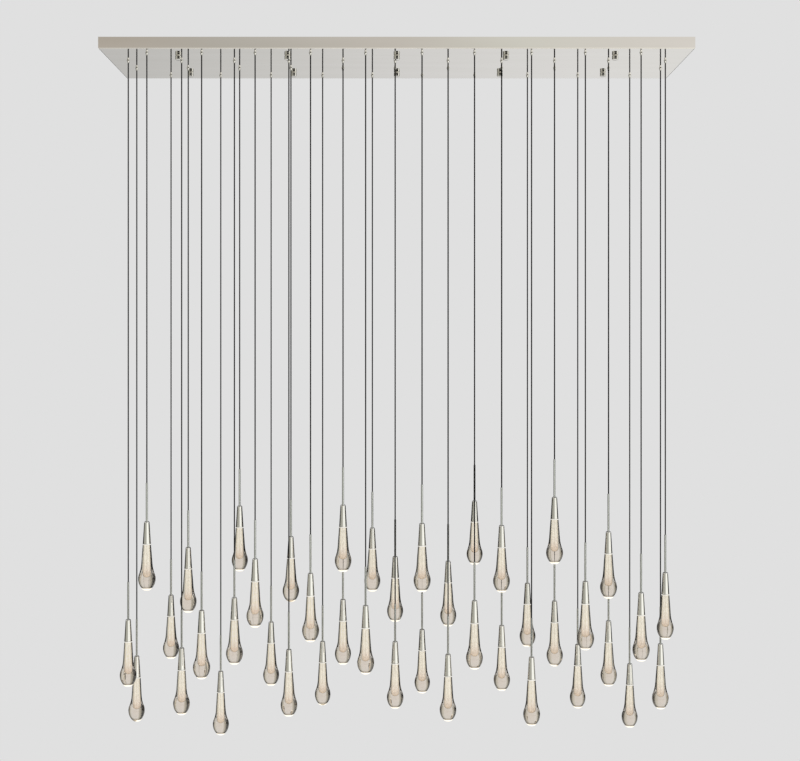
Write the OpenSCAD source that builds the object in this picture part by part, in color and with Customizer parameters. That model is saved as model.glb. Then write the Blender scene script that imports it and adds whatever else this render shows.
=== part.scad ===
// Linear chandelier: a long polished canopy from which 42 solid glass drops hang on thin cords.
// Millimetres. X runs along the canopy, Y runs across it and Z is up.
// The origin is the middle of the ceiling plane, so the whole fitting hangs below Z = 0.

/* [Canopy pan] */
// Length of the canopy along the ceiling
canopy_l = 1829; // [1760:1:2400]
// Width of the canopy
canopy_w = 457; // [440:1:600]
// Height of the rim below the ceiling
canopy_h = 36; // [35:1:60]
// Thickness of the polished steel sheet
sheet = 1.5; // [1:0.1:2]
// Outside radius of the folded edges
fold_r = 3; // [2.5:0.5:6]
// Width of the lip folded in along the top of the rim
lip_w = 12; // [8:1:20]

/* [Pendant pattern] */
// Distance from the end of the canopy to the first cord
end_margin = 59.5; // [45:0.5:80]
// Distance from the long edge of the canopy to the first row of cords
side_margin = 57.5; // [45:0.5:70]
// Front row, how far each cord hangs to the right of its even place
shift_row_1 = [-6, -7, -12, -11, -11, -7, -15, -9, -13, -11]; // [-16:0.5:16]
// Second row, measured the same way
shift_row_2 = [0, -1, -4, -1.5, 0, -5, -7.5, -8, -10.5, -9.5, 0.5]; // [-16:0.5:16]
// Third row, measured the same way
shift_row_3 = [6, 3, 0, -3.5, -4.5, -5, -3, 1, 2.5, 8, 6.5]; // [-16:0.5:16]
// Rear row, measured the same way
shift_row_4 = [14, 9.5, 7, 8.5, 4, -0.5, 4, 10, 7.5, 10.5]; // [-16:0.5:16]

/* [Hanging lengths] */
// Front row, from the underside of the canopy to the top of each cap
hang_row_1 = [1455, 1730, 1570, 1615, 1715, 1460, 1700, 1875, 1640, 1675]; // [1300:5:2200]
// Second row, measured the same way
hang_row_2 = [1780, 1870, 1710, 1875, 1415, 1850, 1890, 1480, 1390, 1500, 1630]; // [1300:5:2200]
// Third row, measured the same way
hang_row_3 = [1920, 1565, 1430, 1530, 1735, 1595, 1610, 1820, 1740, 1805, 1880]; // [1300:5:2200]
// Rear row, measured the same way
hang_row_4 = [1740, 1995, 1830, 1895, 1515, 1855, 1425, 1700, 1905, 1970]; // [1300:5:2200]

/* [Cord and grip] */
// Diameter of the round cord
cord_d = 4; // [2.5:0.1:4.2]
// Play between the cord and every hole that it runs through
cord_play = 0.3; // [0.2:0.05:0.5]
// Diameter of the turned grip below the canopy
grip_d = 9; // [8.5:0.1:12]
// Height of the grip below the canopy
grip_h = 8.5; // [6:0.5:14]
// Diameter of the grip's threaded neck
grip_neck_d = 7; // [6:0.1:8]
// Height of the neck above the sheet
grip_neck_h = 7; // [5:0.5:9]
// Size across the flats of the grip's lock nut
grip_nut_af = 10; // [9.5:0.5:13]
// Height of the grip's lock nut
grip_nut_h = 3; // [2:0.5:4]
// Depth of the flared mouth in which the cord swings
mouth_depth = 2; // [1:0.5:4]
// Bend radius of the cord tail inside the canopy
tail_bend = 7; // [5:0.5:9]

/* [Stem] */
// Diameter of the tube above the cap
stem_d = 6.5; // [6:0.1:8]
// Length of the tube that shows above the cap
stem_l = 120; // [60:1:160]
// Wall of the tube
stem_wall = 0.8; // [0.4:0.1:1]
// Thickness of the closed top of the tube
stem_top_t = 3; // [2:0.5:6]
// Chamfer on the tube's upper edge
stem_chamfer = 0.5; // [0.3:0.1:0.6]
// Size across the flats of the nut that locks the tube in the cap
stem_nut_af = 10; // [9.5:0.1:12]
// Height of that nut
stem_nut_h = 4; // [3:0.5:6]

/* [Cap] */
// Height of the cap
cap_l = 70; // [66:1:90]
// Diameter of the cap at its top
cap_top_d = 16.5; // [16:0.1:19]
// Diameter of the cap at its mouth
cap_mouth_d = 25; // [24.5:0.1:27]
// Wall of the cap
cap_wall = 1.2; // [0.8:0.1:1.5]
// Thickness of the top of the cap
cap_top_t = 3; // [2:0.5:4]
// Radius of the rounded shoulder
cap_shoulder_r = 3; // [1:0.5:4]

/* [Glass drop] */
// Length of glass that shows below the cap
drop_l = 143; // [140:0.5:144]
// Largest diameter of the drop
bulb_d = 54; // [48:0.5:58]
// Depth of the widest point below the cap
bulb_depth = 108; // [104:1:112]
// Radius of the rounded tip
tip_r = 20; // [18:0.5:22]
// Depth at which the rounded tip would end if it had no flat foot
tip_depth = 144.5; // [144.5:0.5:150]
// Radius that blends the neck into the bulb on a slender drop
slender_blend = 110; // [100:1:120]
// Taper of the neck on a slender drop, in degrees
slender_taper = 4.5; // [4:0.1:5]
// Radius that blends the neck into the bulb on a shouldered drop
shouldered_blend = 90; // [75:1:100]
// Taper of the neck on a shouldered drop, in degrees
shouldered_taper = 3.7; // [3:0.1:4.2]
// Length of the glass spigot inside the cap
spigot_l = 20; // [12:1:22]
// Play between the spigot and the cap
spigot_play = 0.3; // [0.2:0.05:0.5]
// Diameter of the seeded core at the mouth of the cap
core_neck_d = 13.5; // [8:0.5:15]
// Diameter of the seeded core at its round tip
core_d = 20; // [16:0.5:22]
// Depth of the core's tip below the cap
core_depth = 104; // [90:1:112]
// Space between the core and the clear glass
core_play = 0.2; // [0.1:0.05:0.3]

/* [Lamp] */
// Height of the aluminium heat slug
slug_h = 20; // [14:1:24]
// Thickness of the circuit board
board_t = 1.6; // [1:0.1:2]
// Radius of the light-emitting dome
dome_r = 2.2; // [1.5:0.1:2.6]
// Gap between the dome and the glass
dome_gap = 0.3; // [0.2:0.1:1]
// Gap between the slug and the cap
slug_play = 0.15; // [0.05:0.05:0.3]

/* [Canopy nuts] */
// Diameter of the round nuts that hold the pan up
nut_d = 19; // [16:0.5:24]
// Height of a nut below the pan
nut_h = 13; // [12:0.5:18]
// How far the nut's neck is set in from its side
nut_neck_step = 1; // [0.5:0.25:3]
// Height of the neck
nut_neck_h = 1; // [0.5:0.5:4]
// Thickness of the nut's closed end
nut_base_t = 1.5; // [1:0.5:3]
// Chamfer on the nut's edges
nut_chamfer = 0.8; // [0.4:0.1:1.5]
// Diameter of the studs
stud_d = 6; // [5:0.5:7]
// Play between a stud and the thread of its nut
nut_play = 0.05; // [0.02:0.01:0.09]
// Play between a stud and the pan
stud_play = 0.5; // [0.3:0.1:1]
// Gap under a finger-tight nut
nut_seat_gap = 0.1; // [0.05:0.05:0.2]

/* [Mounting frame] */
// Length of a rail
rail_l = 1720; // [1680:5:1730]
// Width of a rail
rail_w = 40; // [36:1:44]
// Height of a rail
rail_h = 12; // [10:0.5:13]
// Thickness of the rails, bars and plate
rail_t = 2; // [1.5:0.1:2.5]
// Distance of a rail's middle beyond its terminal strip
rail_offset = 16; // [14:0.5:20]
// Width of a crossbar
bar_w = 50; // [40:1:60]
// Length of the centre plate along the canopy
plate_w = 160; // [130:1:180]
// How far a bar or the plate reaches under a rail
bar_overlap = 12; // [10:0.5:13]
// Distance between the inner pair of ceiling screws along a rail
screw_pitch_inner = 812.8; // [780:0.1:840]
// Distance between the outer pair of ceiling screws along a rail
screw_pitch_outer = 1625.6; // [1600:0.1:1650]
// Diameter of the ceiling screw holes
screw_hole_d = 6.5; // [5:0.1:7]
// Distance between the two outlet box slots
box_pitch = 88.9; // [83:0.1:90]
// Width of an outlet box slot
box_slot_w = 4.4; // [4:0.1:5]
// Length of an outlet box slot from end to end
box_slot_l = 16; // [8:0.5:20]
// Diameter of the frame's machine screws
frame_screw_d = 4; // [3:0.5:4]
// Bore of the rubber grommet
grommet_bore = 16; // [10:0.5:18]
// Diameter of the plate hole that holds the grommet
grommet_hole = 22; // [21:0.5:24]
// Diameter of the grommet's flanges
grommet_d = 28; // [26:0.5:32]

/* [Electrical parts] */
// Length of a driver's case
driver_l = 290; // [250:5:300]
// Width of a driver's case
driver_w = 42; // [36:1:50]
// Height of a driver's case
driver_h = 20; // [18:0.5:22]
// Distance of a driver's middle from the middle of the canopy
driver_x = 400; // [390:1:410]
// Length of a driver's fixing tab
driver_tab = 15; // [12:1:20]
// Width of a terminal strip
strip_w = 16; // [14:0.5:18]
// How far a terminal strip runs on beyond the outermost cords
strip_overhang = 15; // [12:1:20]
// Length of one terminal block
block_l = 14; // [10:1:20]
// Height of a terminal block above the pan
block_h = 19; // [18:0.5:20]
// Length of the mains terminal block
mains_l = 70; // [60:1:80]
// Width of the mains terminal block
mains_w = 40; // [36:1:50]
// Height of the mains terminal block
mains_h = 18; // [16:0.5:20]
// Distance of the mains block's middle from the wire entry
mains_x = 95; // [90:1:110]
// Distance of the earth stud from the wire entry
earth_x = 70; // [60:1:90]
// Diameter of the earth stud
earth_stud_d = 5; // [4:0.5:6]
// Height of the earth stud above the pan
earth_stud_l = 11; // [10:0.5:14]
// Diameter of the sheathed mains leads
mains_lead_d = 5; // [4:0.1:6]
// Diameter of the low-voltage leads
low_lead_d = 4; // [3:0.1:5]

/* [Hidden] */
$fn = 48;

nickel = "#D8D2C8";
steel = "#B9BCC0";
zinc = "#A9ADB3";
black = "#1C1C1E";

// Pendant pattern: long rows have 11 cords and short rows have 10, set half a pitch over
long_row_gaps = 10;
row_gaps = 3;
pitch_x = (canopy_l - 2 * end_margin) / long_row_gaps;
pitch_y = (canopy_w - 2 * side_margin) / row_gaps;
hang = [hang_row_1, hang_row_2, hang_row_3, hang_row_4];
shift = [shift_row_1, shift_row_2, shift_row_3, shift_row_4];
shouldered = [[1, 2, 3], [0, 1, 5, 6], [0, 4, 7, 8], [1, 3, 5]];

function row_y(row) = (row - 2.5) * pitch_y;
function count(row) = len(hang[row - 1]);
function cord_x(row, i) = (i - (count(row) - 1) / 2) * pitch_x + shift[row - 1][i];
function is_shouldered(row, i) = len(search(i, shouldered[row - 1])) > 0;

// Heights: the floor is the inside of the pan, and the cords swing about the pivot height
floor_z = -canopy_h + sheet;
pivot_z = -canopy_h - grip_h + mouth_depth;
cord_hole_r = cord_d / 2 + cord_play;

// Cord tails rise out of the grips and turn towards the terminal strips
tail_clearance = 1;
tail_rise = grip_neck_h + tail_clearance + tail_bend;
strip_y = (row_y(3) + row_y(4)) / 2;
strip_l = long_row_gaps * pitch_x + 2 * strip_overhang;
rail_y = strip_y + rail_offset;
stud_pitch = 2 * pitch_x;
stud_columns = [-2 : 2];

// Mounting frame
bar_x = 3 * pitch_x;
bar_l = 2 * (rail_y - rail_w / 2 + bar_overlap);
bar_screw_y = rail_y - rail_w / 2 + rail_t + (bar_overlap - rail_t) / 2;
screw_play = 0.1;
notch_play = 0.5;
stud_head_t = 1.2;
stud_head_r = stud_d / 2 + 1.5;
stud_end_gap = 1.5;
stud_end_z = -canopy_h - nut_h + nut_base_t + stud_end_gap;
frame_nut_af = 10;
frame_nut_h = 5;
// Each bar or plate as its middle and its width along the canopy, and its screws' distance in from its edges
bars = [[-bar_x, bar_w], [0, plate_w], [bar_x, bar_w]];
bar_screw_inset = 10;
frame_screw_x = [for (bar = bars) for (end = [-1, 1]) bar[0] + end * (bar[1] / 2 - bar_screw_inset)];
frame_head_d = 2 * frame_screw_d;
frame_head_h = 2.4;
frame_head_taper = 2;
frame_screw_top = -0.2;

// Places of the welded studs that hold the electrical parts down
weld_stud_d = 3;
weld_stud_l = 7;
weld_nut_af = 5.5;
weld_nut_h = 2.4;
weld_sunk = sheet / 2;
tab_t = 3;
driver_corner_r = 4;
driver_tab_inset = 4;
strip_base_t = 2;
block_step = 1;
block_inset = 1.5;
strip_stud_x = [-7.5, -2.5, 2.5, 7.5] * pitch_x / 2;
driver_stud_x = driver_l / 2 + driver_tab / 2;
mains_tab = 10;
mains_tab_w = 16;
mains_stud_x = mains_l / 2 + mains_tab / 2;
pole_pitch = 12;
pole_w = 10;
pole_step = 4;
lead_z = floor_z + 10;
low_lead_y = 10;
low_lead_bend = 10;
mains_lead_y = 12;

// The low-voltage leads end at the second and the ninth block of the outer rows
function low_lead_x(side, end) = cord_x(side < 0 ? 1 : 4, end < 0 ? 1 : 8);

// Earth terminal, from the pan up: washer, ring lug and nut, each resting on the one below
washer_r = 6;
washer_t = 1;
lug_r = 5;
lug_tail_l = 11;
lug_tail_w = 4;
lug_t = 1.2;
earth_nut_af = 8;
earth_nut_h = 4;
earth_lead_d = 3;
earth_lead_gap = 7;
earth_lead_z = floor_z + washer_t + lug_t + earth_lead_d / 2;

// Inside the cap: the tube's foot below its nut, and the top of the heat slug, both as depths below the cap's top
stem_foot = cap_top_t + stem_nut_h + 2;
slug_top = cap_l - spigot_l - dome_r - dome_gap - board_t - slug_h;
function cap_inner_r(depth) = cap_top_d / 2 - cap_wall + (cap_mouth_d - cap_top_d) / 2 * depth / cap_l;

// Glass profile: a side arc and a tip arc that touch, met by a tapered neck through a hollow blend
tip_centre = [0, -(tip_depth - tip_r)];
side_r = (pow(bulb_d / 2, 2) - pow(tip_r, 2) + pow(tip_depth - tip_r - bulb_depth, 2)) / (bulb_d - 2 * tip_r);
side_centre = [bulb_d / 2 - side_r, -bulb_depth];
// How far each arc's area runs on inside its neighbour, so that they join
arc_overlap = 2;

// Runs its children at each pendant of a row, with Z = 0 at the top of the cap
module at_each_cap(row) {
    for (i = [0 : count(row) - 1]) {
        $hang = hang[row - 1][i];
        $is_shouldered = is_shouldered(row, i);
        translate([cord_x(row, i), row_y(row), -canopy_h - $hang]) children();
    }
}

// Runs its children at each cord hole of the canopy, with Z = 0 at the underside of the pan
module at_each_cord_hole() {
    for (row = [1 : 4]) {
        for (i = [0 : count(row) - 1]) {
            translate([cord_x(row, i), row_y(row), -canopy_h]) children();
        }
    }
}

// Runs its children at each stud, with Z = 0 at the ceiling
module at_each_stud() {
    for (column = stud_columns) {
        for (side = [-1, 1]) {
            translate([column * stud_pitch, side * rail_y, 0]) children();
        }
    }
}

module hex_prism(af, h) {
    cylinder(d = af / cos(30), h = h, $fn = 6);
}

module tube(outer_r, inner_r, h) {
    difference() {
        cylinder(r = outer_r, h = h);
        translate([0, 0, -1]) cylinder(r = inner_r, h = h + 2);
    }
}

// Cross-section of a folded tray, open at the top, with its lower edges rounded to radius r
module tray_section(w, h, r) {
    translate([-w / 2, -h + r]) square([w, h - r]);
    translate([-w / 2 + r, -h]) square([w - 2 * r, h]);
    for (side = [-1, 1]) {
        translate([side * (w / 2 - r), -h + r]) circle(r = r);
    }
}

// Solid block with rounded lower edges, mitred at its corners as folded sheet is
module tray_block(l, w, h, r) {
    intersection() {
        rotate([90, 0, 90]) linear_extrude(l, center = true) tray_section(w, h, r);
        rotate([90, 0, 0]) linear_extrude(w, center = true) tray_section(l, h, r);
    }
}

module canopy_pan() color(nickel) {
    difference() {
        tray_block(canopy_l, canopy_w, canopy_h, fold_r);
        translate([0, 0, -sheet]) {
            tray_block(canopy_l - 2 * sheet, canopy_w - 2 * sheet, canopy_h - 2 * sheet, fold_r - sheet);
        }
        translate([-canopy_l / 2 + lip_w, -canopy_w / 2 + lip_w, -2 * sheet]) {
            cube([canopy_l - 2 * lip_w, canopy_w - 2 * lip_w, 3 * sheet]);
        }
        at_each_cord_hole() translate([0, 0, -1]) cylinder(r = grip_neck_d / 2 + screw_play, h = sheet + 2);
        at_each_stud() {
            translate([0, 0, -canopy_h - 1]) cylinder(r = stud_d / 2 + stud_play, h = sheet + 2);
        }
    }
    weld_studs();
}

// Studs welded inside the pan for the drivers, strips, mains block and earth
module weld_studs() {
    at_equipment_studs() translate([0, 0, floor_z - weld_sunk]) {
        cylinder(d = weld_stud_d, h = weld_stud_l + weld_sunk);
    }
    translate([-earth_x, mains_lead_y, floor_z - weld_sunk]) {
        cylinder(d = earth_stud_d, h = earth_stud_l + weld_sunk);
    }
}

// Runs its children at each welded stud except the earth stud, with Z = 0 at the ceiling
module at_equipment_studs() {
    for (side = [-1, 1]) {
        for (x = strip_stud_x) {
            translate([x, side * strip_y, 0]) children();
        }
        for (end = [-1, 1]) {
            translate([side * driver_x + end * driver_stud_x, 0, 0]) children();
        }
        translate([mains_x + side * mains_stud_x, 0, 0]) children();
    }
}

module cord_grips() color(nickel) {
    at_each_cord_hole() rotate_extrude() difference() {
        polygon([
            [0, sheet + grip_neck_h], [grip_neck_d / 2 - 0.5, sheet + grip_neck_h],
            [grip_neck_d / 2, sheet + grip_neck_h - 0.5], [grip_neck_d / 2, 0],
            [grip_d / 2, 0], [grip_d / 2, -grip_h + 1], [grip_d / 2 - 1, -grip_h], [0, -grip_h],
        ]);
        polygon([
            [-1, sheet + grip_neck_h + 1], [cord_hole_r, sheet + grip_neck_h + 1],
            [cord_hole_r, -grip_h + mouth_depth], [cord_hole_r + 0.8, -grip_h - 0.1], [-1, -grip_h - 0.1],
        ]);
    }
}

module grip_lock_nuts() color(zinc) {
    at_each_cord_hole() translate([0, 0, sheet]) difference() {
        hex_prism(grip_nut_af, grip_nut_h);
        translate([0, 0, -1]) cylinder(r = grip_neck_d / 2 + screw_play, h = grip_nut_h + 2);
    }
}

// Fixed end of each cord: up through its grip, round a bend and across to the terminal strip
module cord_tails() color(black) {
    for (row = [1 : 4]) {
        outer = row == 1 || row == 4;
        towards = (row < 3 ? -1 : 1) * (outer ? -1 : 1);
        reach = pitch_y / 2 - strip_w / 2 - tail_bend;
        for (i = [0 : count(row) - 1]) {
            translate([cord_x(row, i), row_y(row), 0]) rotate([0, 0, 90 * towards]) cord_tail(reach);
        }
    }
}

module cord_tail(reach) {
    start = pivot_z + cord_d / 2 + cord_play;
    bend_z = floor_z + tail_rise - tail_bend;
    translate([0, 0, start]) cylinder(d = cord_d, h = bend_z - start);
    translate([tail_bend, 0, bend_z]) rotate([90, 0, 180]) {
        rotate_extrude(angle = 90) translate([tail_bend, 0]) circle(d = cord_d);
    }
    translate([tail_bend, 0, floor_z + tail_rise]) rotate([0, 90, 0]) cylinder(d = cord_d, h = reach);
}

// Channel with its web against the ceiling, notched where the bars and the plate pass under it
module rail(side) color(steel) {
    translate([0, side * rail_y, 0]) difference() {
        translate([-rail_l / 2, -rail_w / 2, -rail_h]) cube([rail_l, rail_w, rail_h]);
        translate([-rail_l / 2 - 1, -rail_w / 2 + rail_t, -rail_h - 1]) {
            cube([rail_l + 2, rail_w - 2 * rail_t, rail_h - rail_t + 1]);
        }
        for (bar = bars) {
            translate([bar[0], -side * (rail_w / 2 - rail_t / 2), -rail_h / 2 - rail_t]) {
                cube([bar[1] + 2 * notch_play, rail_t + 2, rail_h], center = true);
            }
        }
        for (x = [screw_pitch_inner, screw_pitch_outer] / 2) {
            for (end = [-1, 1]) {
                translate([end * x, 0, -rail_t - 1]) cylinder(d = screw_hole_d, h = rail_t + 2);
            }
        }
        for (column = stud_columns) {
            translate([column * stud_pitch, 0, -rail_t - 1]) {
                cylinder(r = stud_d / 2 + screw_play, h = rail_t + 2);
                translate([0, 0, rail_t + 1 - stud_head_t]) cylinder(r = stud_head_r + screw_play, h = rail_t);
            }
        }
        for (x = frame_screw_x) {
            translate([x, -side * (rail_y - bar_screw_y), -rail_t - 1]) {
                cylinder(r = frame_screw_d / 2 + screw_play, h = rail_t + 2);
            }
        }
    }
}

// Flat bar that joins the two rails from below
module crossbar(x) color(steel) {
    difference() {
        translate([x - bar_w / 2, -bar_l / 2, -2 * rail_t]) cube([bar_w, bar_l, rail_t]);
        bar_screw_holes(x, bar_w);
    }
}

module bar_screw_holes(x, w) {
    for (end = [-1, 1]) {
        for (side = [-1, 1]) {
            translate([x + end * (w / 2 - bar_screw_inset), side * bar_screw_y, -2 * rail_t - 1]) {
                cylinder(r = frame_screw_d / 2 + screw_play, h = rail_t + 2);
            }
        }
    }
}

// Plate over the outlet box, with the wire entry in its middle
module centre_plate() color(steel) {
    difference() {
        translate([-plate_w / 2, -bar_l / 2, -2 * rail_t]) cube([plate_w, bar_l, rail_t]);
        bar_screw_holes(0, plate_w);
        translate([0, 0, -2 * rail_t - 1]) cylinder(d = grommet_hole, h = rail_t + 2);
        for (side = [-1, 1]) {
            translate([side * box_pitch / 2, 0, -2 * rail_t - 1]) slot(box_slot_l, box_slot_w, rail_t + 2);
        }
    }
}

module slot(l, w, h) {
    for (end = [-1, 1]) {
        translate([end * (l - w) / 2, 0, 0]) cylinder(d = w, h = h);
    }
    translate([-(l - w) / 2, -w / 2, 0]) cube([l - w, w, h]);
}

module wire_grommet() color(black) {
    rotate_extrude() difference() {
        polygon([
            [0, 0], [grommet_d / 2, 0], [grommet_d / 2, -rail_t], [grommet_hole / 2 - screw_play, -rail_t],
            [grommet_hole / 2 - screw_play, -2 * rail_t], [grommet_d / 2, -2 * rail_t],
            [grommet_d / 2 - 1, -3 * rail_t], [0, -3 * rail_t],
        ]);
        translate([-1, -3 * rail_t - 1]) square([grommet_bore / 2 + 1, 3 * rail_t + 2]);
    }
}

module canopy_studs() color(zinc) {
    at_each_stud() {
        translate([0, 0, -stud_head_t]) cylinder(r = stud_head_r, h = stud_head_t);
        translate([0, 0, stud_end_z]) cylinder(d = stud_d, h = -stud_end_z - stud_head_t / 2);
    }
}

module stud_lock_nuts() color(zinc) {
    at_each_stud() translate([0, 0, -rail_t - frame_nut_h]) difference() {
        hex_prism(frame_nut_af, frame_nut_h);
        translate([0, 0, -1]) cylinder(r = stud_d / 2 + screw_play, h = frame_nut_h + 2);
    }
}

module frame_screws() color(zinc) {
    for (x = frame_screw_x) {
        for (side = [-1, 1]) {
            translate([x, side * bar_screw_y, -2 * rail_t - frame_head_h]) {
                cylinder(d1 = frame_head_d - frame_head_taper, d2 = frame_head_d, h = frame_head_h);
                cylinder(d = frame_screw_d, h = frame_head_h + 2 * rail_t + frame_screw_top);
            }
        }
    }
}

// Round nut that holds the pan up from below
module canopy_nut(column, side) color(nickel) {
    neck_r = nut_d / 2 - nut_neck_step;
    translate([column * stud_pitch, side * rail_y, -canopy_h]) rotate_extrude() difference() {
        polygon([
            [0, -nut_seat_gap], [neck_r, -nut_seat_gap], [neck_r, -nut_neck_h],
            [nut_d / 2 - nut_chamfer, -nut_neck_h], [nut_d / 2, -nut_neck_h - nut_chamfer],
            [nut_d / 2, -nut_h + nut_chamfer], [nut_d / 2 - nut_chamfer, -nut_h], [0, -nut_h],
        ]);
        translate([-1, -nut_h + nut_base_t]) square([stud_d / 2 + nut_play + 1, nut_h]);
    }
}

// Low case with rounded long edges and a fixing tab at each end
module driver(side) color("#E9E9E6") {
    translate([side * driver_x, 0, floor_z]) difference() {
        union() {
            rotate([90, 0, 90]) linear_extrude(driver_l, center = true) driver_section();
            translate([-driver_l / 2 - driver_tab, -driver_w / 2 + driver_tab_inset, 0]) {
                cube([driver_l + 2 * driver_tab, driver_w - 2 * driver_tab_inset, tab_t]);
            }
        }
        for (end = [-1, 1]) {
            translate([end * driver_stud_x, 0, -1]) cylinder(r = weld_stud_d / 2 + screw_play, h = tab_t + 2);
        }
    }
}

module driver_section() {
    r = driver_corner_r;
    translate([-driver_w / 2, 0]) square([driver_w, driver_h - r]);
    translate([-driver_w / 2 + r, 0]) square([driver_w - 2 * r, driver_h]);
    for (side = [-1, 1]) {
        translate([side * (driver_w / 2 - r), driver_h - r]) circle(r = r);
    }
}

// Long strip with one terminal block for each cord of two rows
module terminal_strip(side) color("#DADAD6") {
    translate([0, side * strip_y, floor_z]) {
        difference() {
            translate([-strip_l / 2, -strip_w / 2, 0]) cube([strip_l, strip_w, strip_base_t]);
            for (x = strip_stud_x) {
                translate([x, 0, -1]) cylinder(r = weld_stud_d / 2 + screw_play, h = strip_base_t + 2);
            }
        }
        for (row = side < 0 ? [1, 2] : [3, 4]) {
            for (i = [0 : count(row) - 1]) {
                translate([cord_x(row, i), 0, strip_base_t]) terminal_block(block_h - strip_base_t);
            }
        }
    }
}

module terminal_block(h) {
    translate([-block_l / 2, -strip_w / 2, 0]) cube([block_l, strip_w, h - block_step]);
    translate([-block_l / 2 + block_inset, -strip_w / 2 + block_inset, 0]) {
        cube([block_l - 2 * block_inset, strip_w - 2 * block_inset, h]);
    }
}

module mains_block() color("#DADAD6") {
    translate([mains_x, 0, floor_z]) difference() {
        union() {
            translate([-mains_l / 2, -mains_w / 2, 0]) cube([mains_l, mains_w, mains_h - pole_step]);
            for (i = [-1 : 1]) {
                translate([-mains_l / 2 + pole_step, i * pole_pitch - pole_w / 2, 0]) {
                    cube([mains_l - 2 * pole_step, pole_w, mains_h]);
                }
            }
            translate([-mains_l / 2 - mains_tab, -mains_tab_w / 2, 0]) {
                cube([mains_l + 2 * mains_tab, mains_tab_w, tab_t]);
            }
        }
        for (end = [-1, 1]) {
            translate([end * mains_stud_x, 0, -1]) cylinder(r = weld_stud_d / 2 + screw_play, h = tab_t + 2);
        }
    }
}

// Ring lug, washer and nut on the earth stud
module earth_terminal() color("#C9A65A") {
    hole_r = earth_stud_d / 2 + screw_play;
    translate([-earth_x, mains_lead_y, floor_z]) {
        tube(washer_r, hole_r, washer_t);
        translate([0, 0, washer_t]) difference() {
            union() {
                cylinder(r = lug_r, h = lug_t);
                translate([0, -lug_tail_w / 2, 0]) cube([lug_tail_l, lug_tail_w, lug_t]);
            }
            translate([0, 0, -1]) cylinder(r = hole_r, h = lug_t + 2);
        }
        translate([0, 0, washer_t + lug_t]) difference() {
            hex_prism(earth_nut_af, earth_nut_h);
            translate([0, 0, -1]) cylinder(r = hole_r, h = earth_nut_h + 2);
        }
    }
}

module equipment_nuts() color(zinc) {
    for (side = [-1, 1]) {
        for (x = strip_stud_x) {
            translate([x, side * strip_y, floor_z + strip_base_t]) weld_nut();
        }
        for (end = [-1, 1]) {
            translate([side * driver_x + end * driver_stud_x, 0, floor_z + tab_t]) weld_nut();
        }
        translate([mains_x + side * mains_stud_x, 0, floor_z + tab_t]) weld_nut();
    }
}

module weld_nut() {
    difference() {
        hex_prism(weld_nut_af, weld_nut_h);
        translate([0, 0, -1]) cylinder(r = weld_stud_d / 2 + screw_play, h = weld_nut_h + 2);
    }
}

// Sheathed leads from the mains block to the two drivers, and the earth lead
module mains_leads() color(black) {
    right_gap = driver_x - driver_l / 2 - mains_x - mains_l / 2;
    translate([mains_x + mains_l / 2, 0, lead_z]) rotate([0, 90, 0]) cylinder(d = mains_lead_d, h = right_gap);
    left_gap = driver_x - driver_l / 2 + mains_x - mains_l / 2;
    translate([mains_x - mains_l / 2, -mains_lead_y, lead_z]) {
        rotate([0, -90, 0]) cylinder(d = mains_lead_d, h = left_gap);
    }
    earth_gap = mains_x - mains_l / 2 + earth_x - earth_lead_gap;
    translate([mains_x - mains_l / 2, mains_lead_y, earth_lead_z]) {
        rotate([0, -90, 0]) cylinder(d = earth_lead_d, h = earth_gap);
    }
}

// Leads from the drivers round to the terminal strips
module low_voltage_leads() color("#8A2B2B") {
    for (end = [-1, 1]) {
        for (side = [-1, 1]) {
            lead_x = low_lead_x(side, end);
            run_x = abs(lead_x) - low_lead_bend - driver_x - driver_l / 2;
            run_y = strip_y - strip_w / 2 - low_lead_y - low_lead_bend;
            translate([end * (driver_x + driver_l / 2), side * low_lead_y, lead_z]) {
                rotate([0, 90 * end, 0]) cylinder(d = low_lead_d, h = run_x);
            }
            translate([lead_x - end * low_lead_bend, side * (low_lead_y + low_lead_bend), lead_z]) {
                mirror([end < 0 ? 1 : 0, 0, 0]) mirror([0, side < 0 ? 1 : 0, 0]) {
                    rotate([0, 0, -90]) rotate_extrude(angle = 90) {
                        translate([low_lead_bend, 0]) circle(d = low_lead_d);
                    }
                }
            }
            translate([lead_x, side * (low_lead_y + low_lead_bend), lead_z]) {
                rotate([-90 * side, 0, 0]) cylinder(d = low_lead_d, h = run_y);
            }
        }
    }
}

// Hanging cord, from its pivot in the grip down to the lamp in the cap, with a rounded upper end
module cords(row) color(black) {
    at_each_cap(row) {
        top = $hang - grip_h + mouth_depth;
        translate([0, 0, -slug_top]) cylinder(d = cord_d, h = top + slug_top);
        translate([0, 0, top]) sphere(d = cord_d);
    }
}

module stems(row) color(nickel) {
    at_each_cap(row) {
        rotate_extrude() difference() {
            polygon([
                [0, stem_l], [stem_d / 2 - stem_chamfer, stem_l], [stem_d / 2, stem_l - stem_chamfer],
                [stem_d / 2, -stem_foot], [0, -stem_foot],
            ]);
            translate([-1, -stem_foot - 1]) square([cord_hole_r + 1, stem_l + stem_foot + 2]);
            translate([-1, -stem_foot - 1]) {
                square([stem_d / 2 - stem_wall + 1, stem_l - stem_top_t + stem_foot + 1]);
            }
        }
        translate([0, 0, -cap_top_t - stem_nut_h]) difference() {
            hex_prism(stem_nut_af, stem_nut_h);
            translate([0, 0, -1]) cylinder(r = stem_d / 2 + screw_play, h = stem_nut_h + 2);
        }
    }
}

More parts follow.
